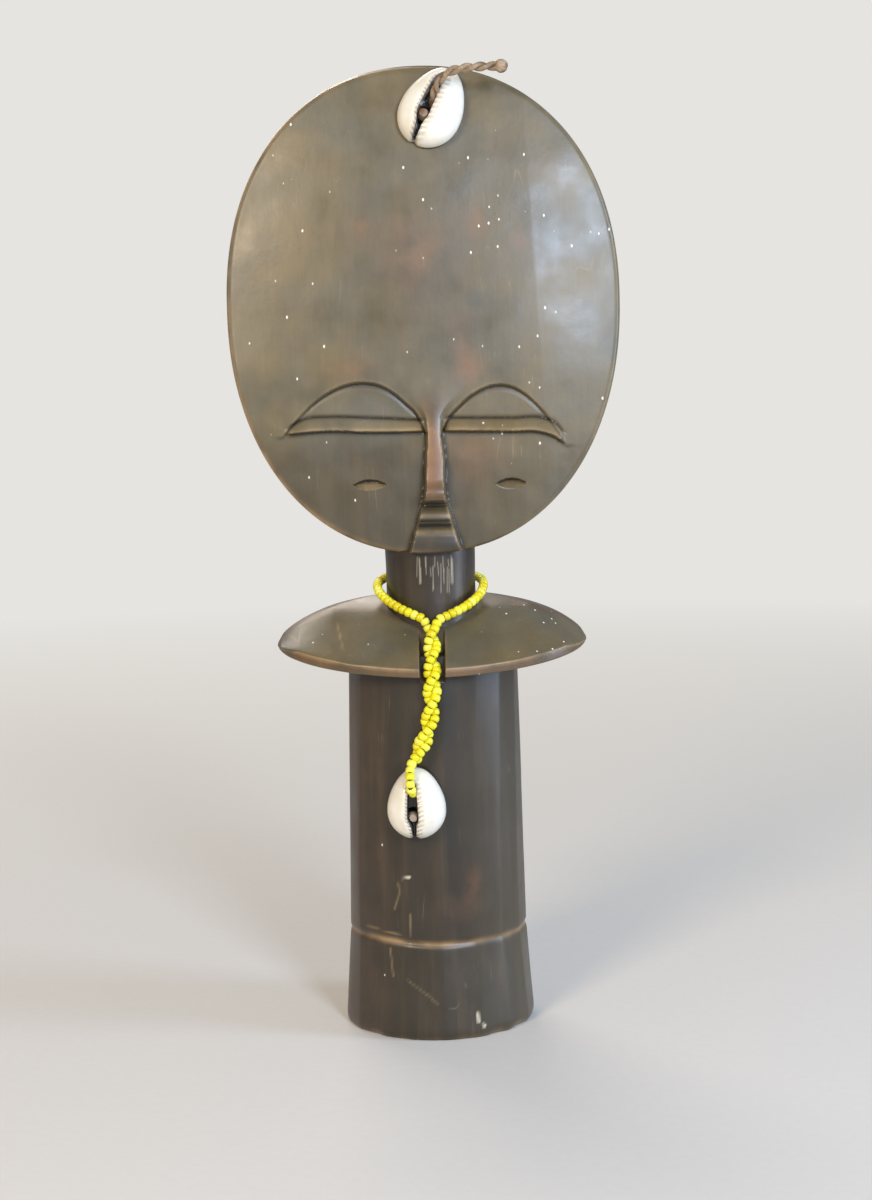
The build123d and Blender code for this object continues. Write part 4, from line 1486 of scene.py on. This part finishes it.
@dataclass
class HeadThong:
    """Two-ply hide thong from its back knot through the head and the shell to its blunt tip."""

    diameter: float = 3.1
    ply: float = 0.82
    pitch: float = 8.5

    def build(self, hide: bpy.types.Material) -> None:
        """Twist two plies of radius ply round the route's line, and knot both ends.

        Args:
            hide: finish of the thong.
        """
        frame = shell_frame()
        local = ((0, 13.6, 0), (0, -2.2, 0), (0.7, -6.4, 3.6), (2.4, -10.0, 6.6), (6.6, -11.8, 8.6),
                 (12.0, -12.0, 9.2), (17.4, -11.9, 9.5), (22.0, -11.7, 9.5))
        route = [tuple(frame[:3, :3] @ np.array(p, float) + frame[:3, 3]) for p in local]
        guide, line = nurbs("thong_guide", route, self.diameter)
        bpy.data.objects.remove(guide)
        offset = self.diameter / 2 - self.ply
        plies = [sweep(line, self.ply, offset, self.pitch, start, 14, 0.35) for start in (0.4, 0.4 + math.pi)]
        thong = several_tubes("head_hide_thong", plies)
        dress(thong, hide, Slot.HIDE, "head_charm", "head_thong")
        back = knotted_ball("hide_back_knot", route[0], 2.9)
        dress(back, hide, Slot.HIDE, "head_charm", "thong_back_knot")
        tip = knotted_ball("hide_tip_knot", route[-1], 2.3)
        dress(tip, hide, Slot.HIDE, "head_charm", "thong_tip_knot")


# ------------------------------------------------------------------ camera, light and floor
@dataclass
class Studio:
    """Camera at the object's viewing angle, soft lamps, pale floor and pale surroundings."""

    focal_share: float = 2000 / 1200
    pitch: float = math.radians(7.065)
    roll: float = math.radians(1.3)
    place: tuple = (1.657, -667.16, 226.34)
    pale: str = "#d9d6d0"
    pale_speck: str = "#d2cec7"
    surround: str = "#e6e4e0"
    daylight: str = "#cfd3d8"

    def camera(self) -> None:
        """Camera a little above the middle, looking slightly down, rolled a little."""
        data = bpy.data.cameras.new("camera")
        data.sensor_fit = "VERTICAL"
        data.sensor_height = 24.0
        data.lens = 24.0 * self.focal_share
        data.clip_start = 0.01
        obj = bpy.data.objects.new("camera", data)
        bpy.context.scene.collection.objects.link(obj)
        s, c = math.sin(self.pitch), math.cos(self.pitch)
        right, up, ahead = Vector((1, 0, 0)), Vector((0, s, c)), Vector((0, c, -s))
        cr, sr = math.cos(self.roll), math.sin(self.roll)
        turned_right, turned_up = right * cr - up * sr, up * cr + right * sr
        matrix = Matrix((turned_right, turned_up, -ahead)).transposed().to_4x4()
        matrix.translation = Vector(self.place) * MM
        obj.matrix_world = matrix
        bpy.context.scene.camera = obj

    def lamp(self, name: str, place: tuple, aim: tuple, size: tuple, power: float, colour: str) -> None:
        """One soft rectangular lamp that faces a point.

        Args:
            name: object name.
            place, aim: where it is and the point that it faces, in metres.
            size: its two sides in metres.
            power: watts.
            colour: its colour.
        """
        data = bpy.data.lights.new(name, "AREA")
        data.shape = "RECTANGLE"
        data.size, data.size_y = size
        data.energy = power
        data.color = linear(colour)[:3]
        obj = bpy.data.objects.new(name, data)
        bpy.context.scene.collection.objects.link(obj)
        obj.location = place
        obj.rotation_euler = (Vector(aim) - Vector(place)).to_track_quat("-Z", "Y").to_euler()

    def surroundings(self) -> None:
        """Pale floor that keeps the shadow, and a world that looks pale to the camera."""
        floor_mesh = bpy.data.meshes.new("floor")
        floor_mesh.from_pydata([(-6, -6, 0), (6, -6, 0), (6, 6, 0), (-6, 6, 0)], [], [(0, 1, 2, 3)])
        floor = bpy.data.objects.new("floor", floor_mesh)
        bpy.context.scene.collection.objects.link(floor)
        material, tree, shader, coords = start_material("matt_board")
        speck = add(tree, Kind.NOISE, {"Vector": coords, "Scale": 300.0, "Detail": 3.0})
        share = add(tree, Kind.RANGE, {0: speck, 1: 0.3, 2: 0.7, 3: 0.0, 4: 0.3})
        colour = add(
            tree, Kind.MIX, {0: share, 6: linear(self.pale), 7: linear(self.pale_speck)}, 2, data_type="RGBA")
        tree.links.new(colour, shader.inputs["Base Color"])
        shader.inputs["Roughness"].default_value = 0.85
        # away from the object the floor melts into the surroundings, for the camera only
        away = add(tree, Kind.VECTOR_MATH, {0: coords}, "Value", operation="LENGTH")
        far = add(tree, Kind.RANGE, {0: away, 1: 0.12, 2: 1.15})
        seen = add(tree, Kind.LIGHT_PATH, None, "Is Camera Ray")
        share = add(tree, Kind.MATH, {0: far, 1: seen}, operation="MULTIPLY")
        glow = add(tree, Kind.EMISSION, {"Color": linear(self.surround), "Strength": 1.0})
        blend = add(tree, Kind.MIX_SHADER, {0: share, 1: shader.outputs[0], 2: glow})
        tree.links.new(blend, tree.nodes["Material Output"].inputs["Surface"])
        floor_mesh.materials.append(material)
        world = bpy.data.worlds.new("studio")
        bpy.context.scene.world = world
        world.use_nodes = True
        tree = world.node_tree
        background = tree.nodes["Background"]
        background.inputs["Color"].default_value = linear(self.daylight)
        background.inputs["Strength"].default_value = 0.42
        pale = add(tree, Kind.BACKGROUND, {"Color": linear(self.surround), "Strength": 1.0})
        seen = add(tree, Kind.LIGHT_PATH, None, "Is Camera Ray")
        blend = add(tree, Kind.MIX_SHADER, {0: seen, 1: background.outputs[0], 2: pale})
        tree.links.new(blend, tree.nodes["World Output"].inputs["Surface"])

    def build(self) -> None:
        """Camera first, then lamps and surroundings."""
        self.camera()
        self.lamp("key_left", (-0.62, -1.05, 0.72), (0, 0, 0.22), (0.34, 0.34), 9.5, "#ffe9cc")
        self.lamp("fill_right", (0.45, -1.12, 0.60), (0.02, 0, 0.24), (0.26, 0.34), 10.5, "#d5e6ff")
        self.lamp("side_right", (0.90, -0.22, 0.34), (0, 0, 0.12), (0.25, 0.8), 6.0, "#cfe0ff")
        self.lamp("back_soft", (-0.4, 1.1, 1.0), (0, 0, 0.2), (0.9, 0.6), 8.0, "#fff4e6")
        self.surroundings()


def main() -> None:
    """Build every piece in order."""
    logging.basicConfig(level=logging.INFO, format="%(name)s: %(message)s")
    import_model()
    scene = bpy.context.scene
    scene.view_settings.view_transform = "Standard"
    Studio().build()

    wood = PatinatedHardwood().build()
    shell = CowrieGlaze().build()
    glass = OpaqueBeadGlass().build()
    hide = TwistedHide().build()
    thread = CottonThread().build()

    Necklace().build(thread, glass)
    HeadThong().build(hide)
    for part in (CarvedHead(), CarvedNeck(), ShoulderPlate(), Trunk()):
        dress(part.build(), wood, Slot.WOOD, "figure", "carved_figure")

    pendant_place = np.eye(4)
    pendant_place[:3, 3] = (-6.2, -25.8, 80.2)
    pendant = Cowrie("pendant_cowrie_shell", 23.7, 19.3, 8.4).build(pendant_place)
    dress(pendant, shell, Slot.SHELL, "pendant_shell", "pendant_cowrie")
    head_place = shell_frame() @ lean_right(26.5)
    charm = Cowrie("head_cowrie_shell", 27.6, 20.8, 7.8).build(head_place)
    dress(charm, shell, Slot.SHELL, "head_charm", "head_cowrie")


if __name__ == "__main__":
    main()
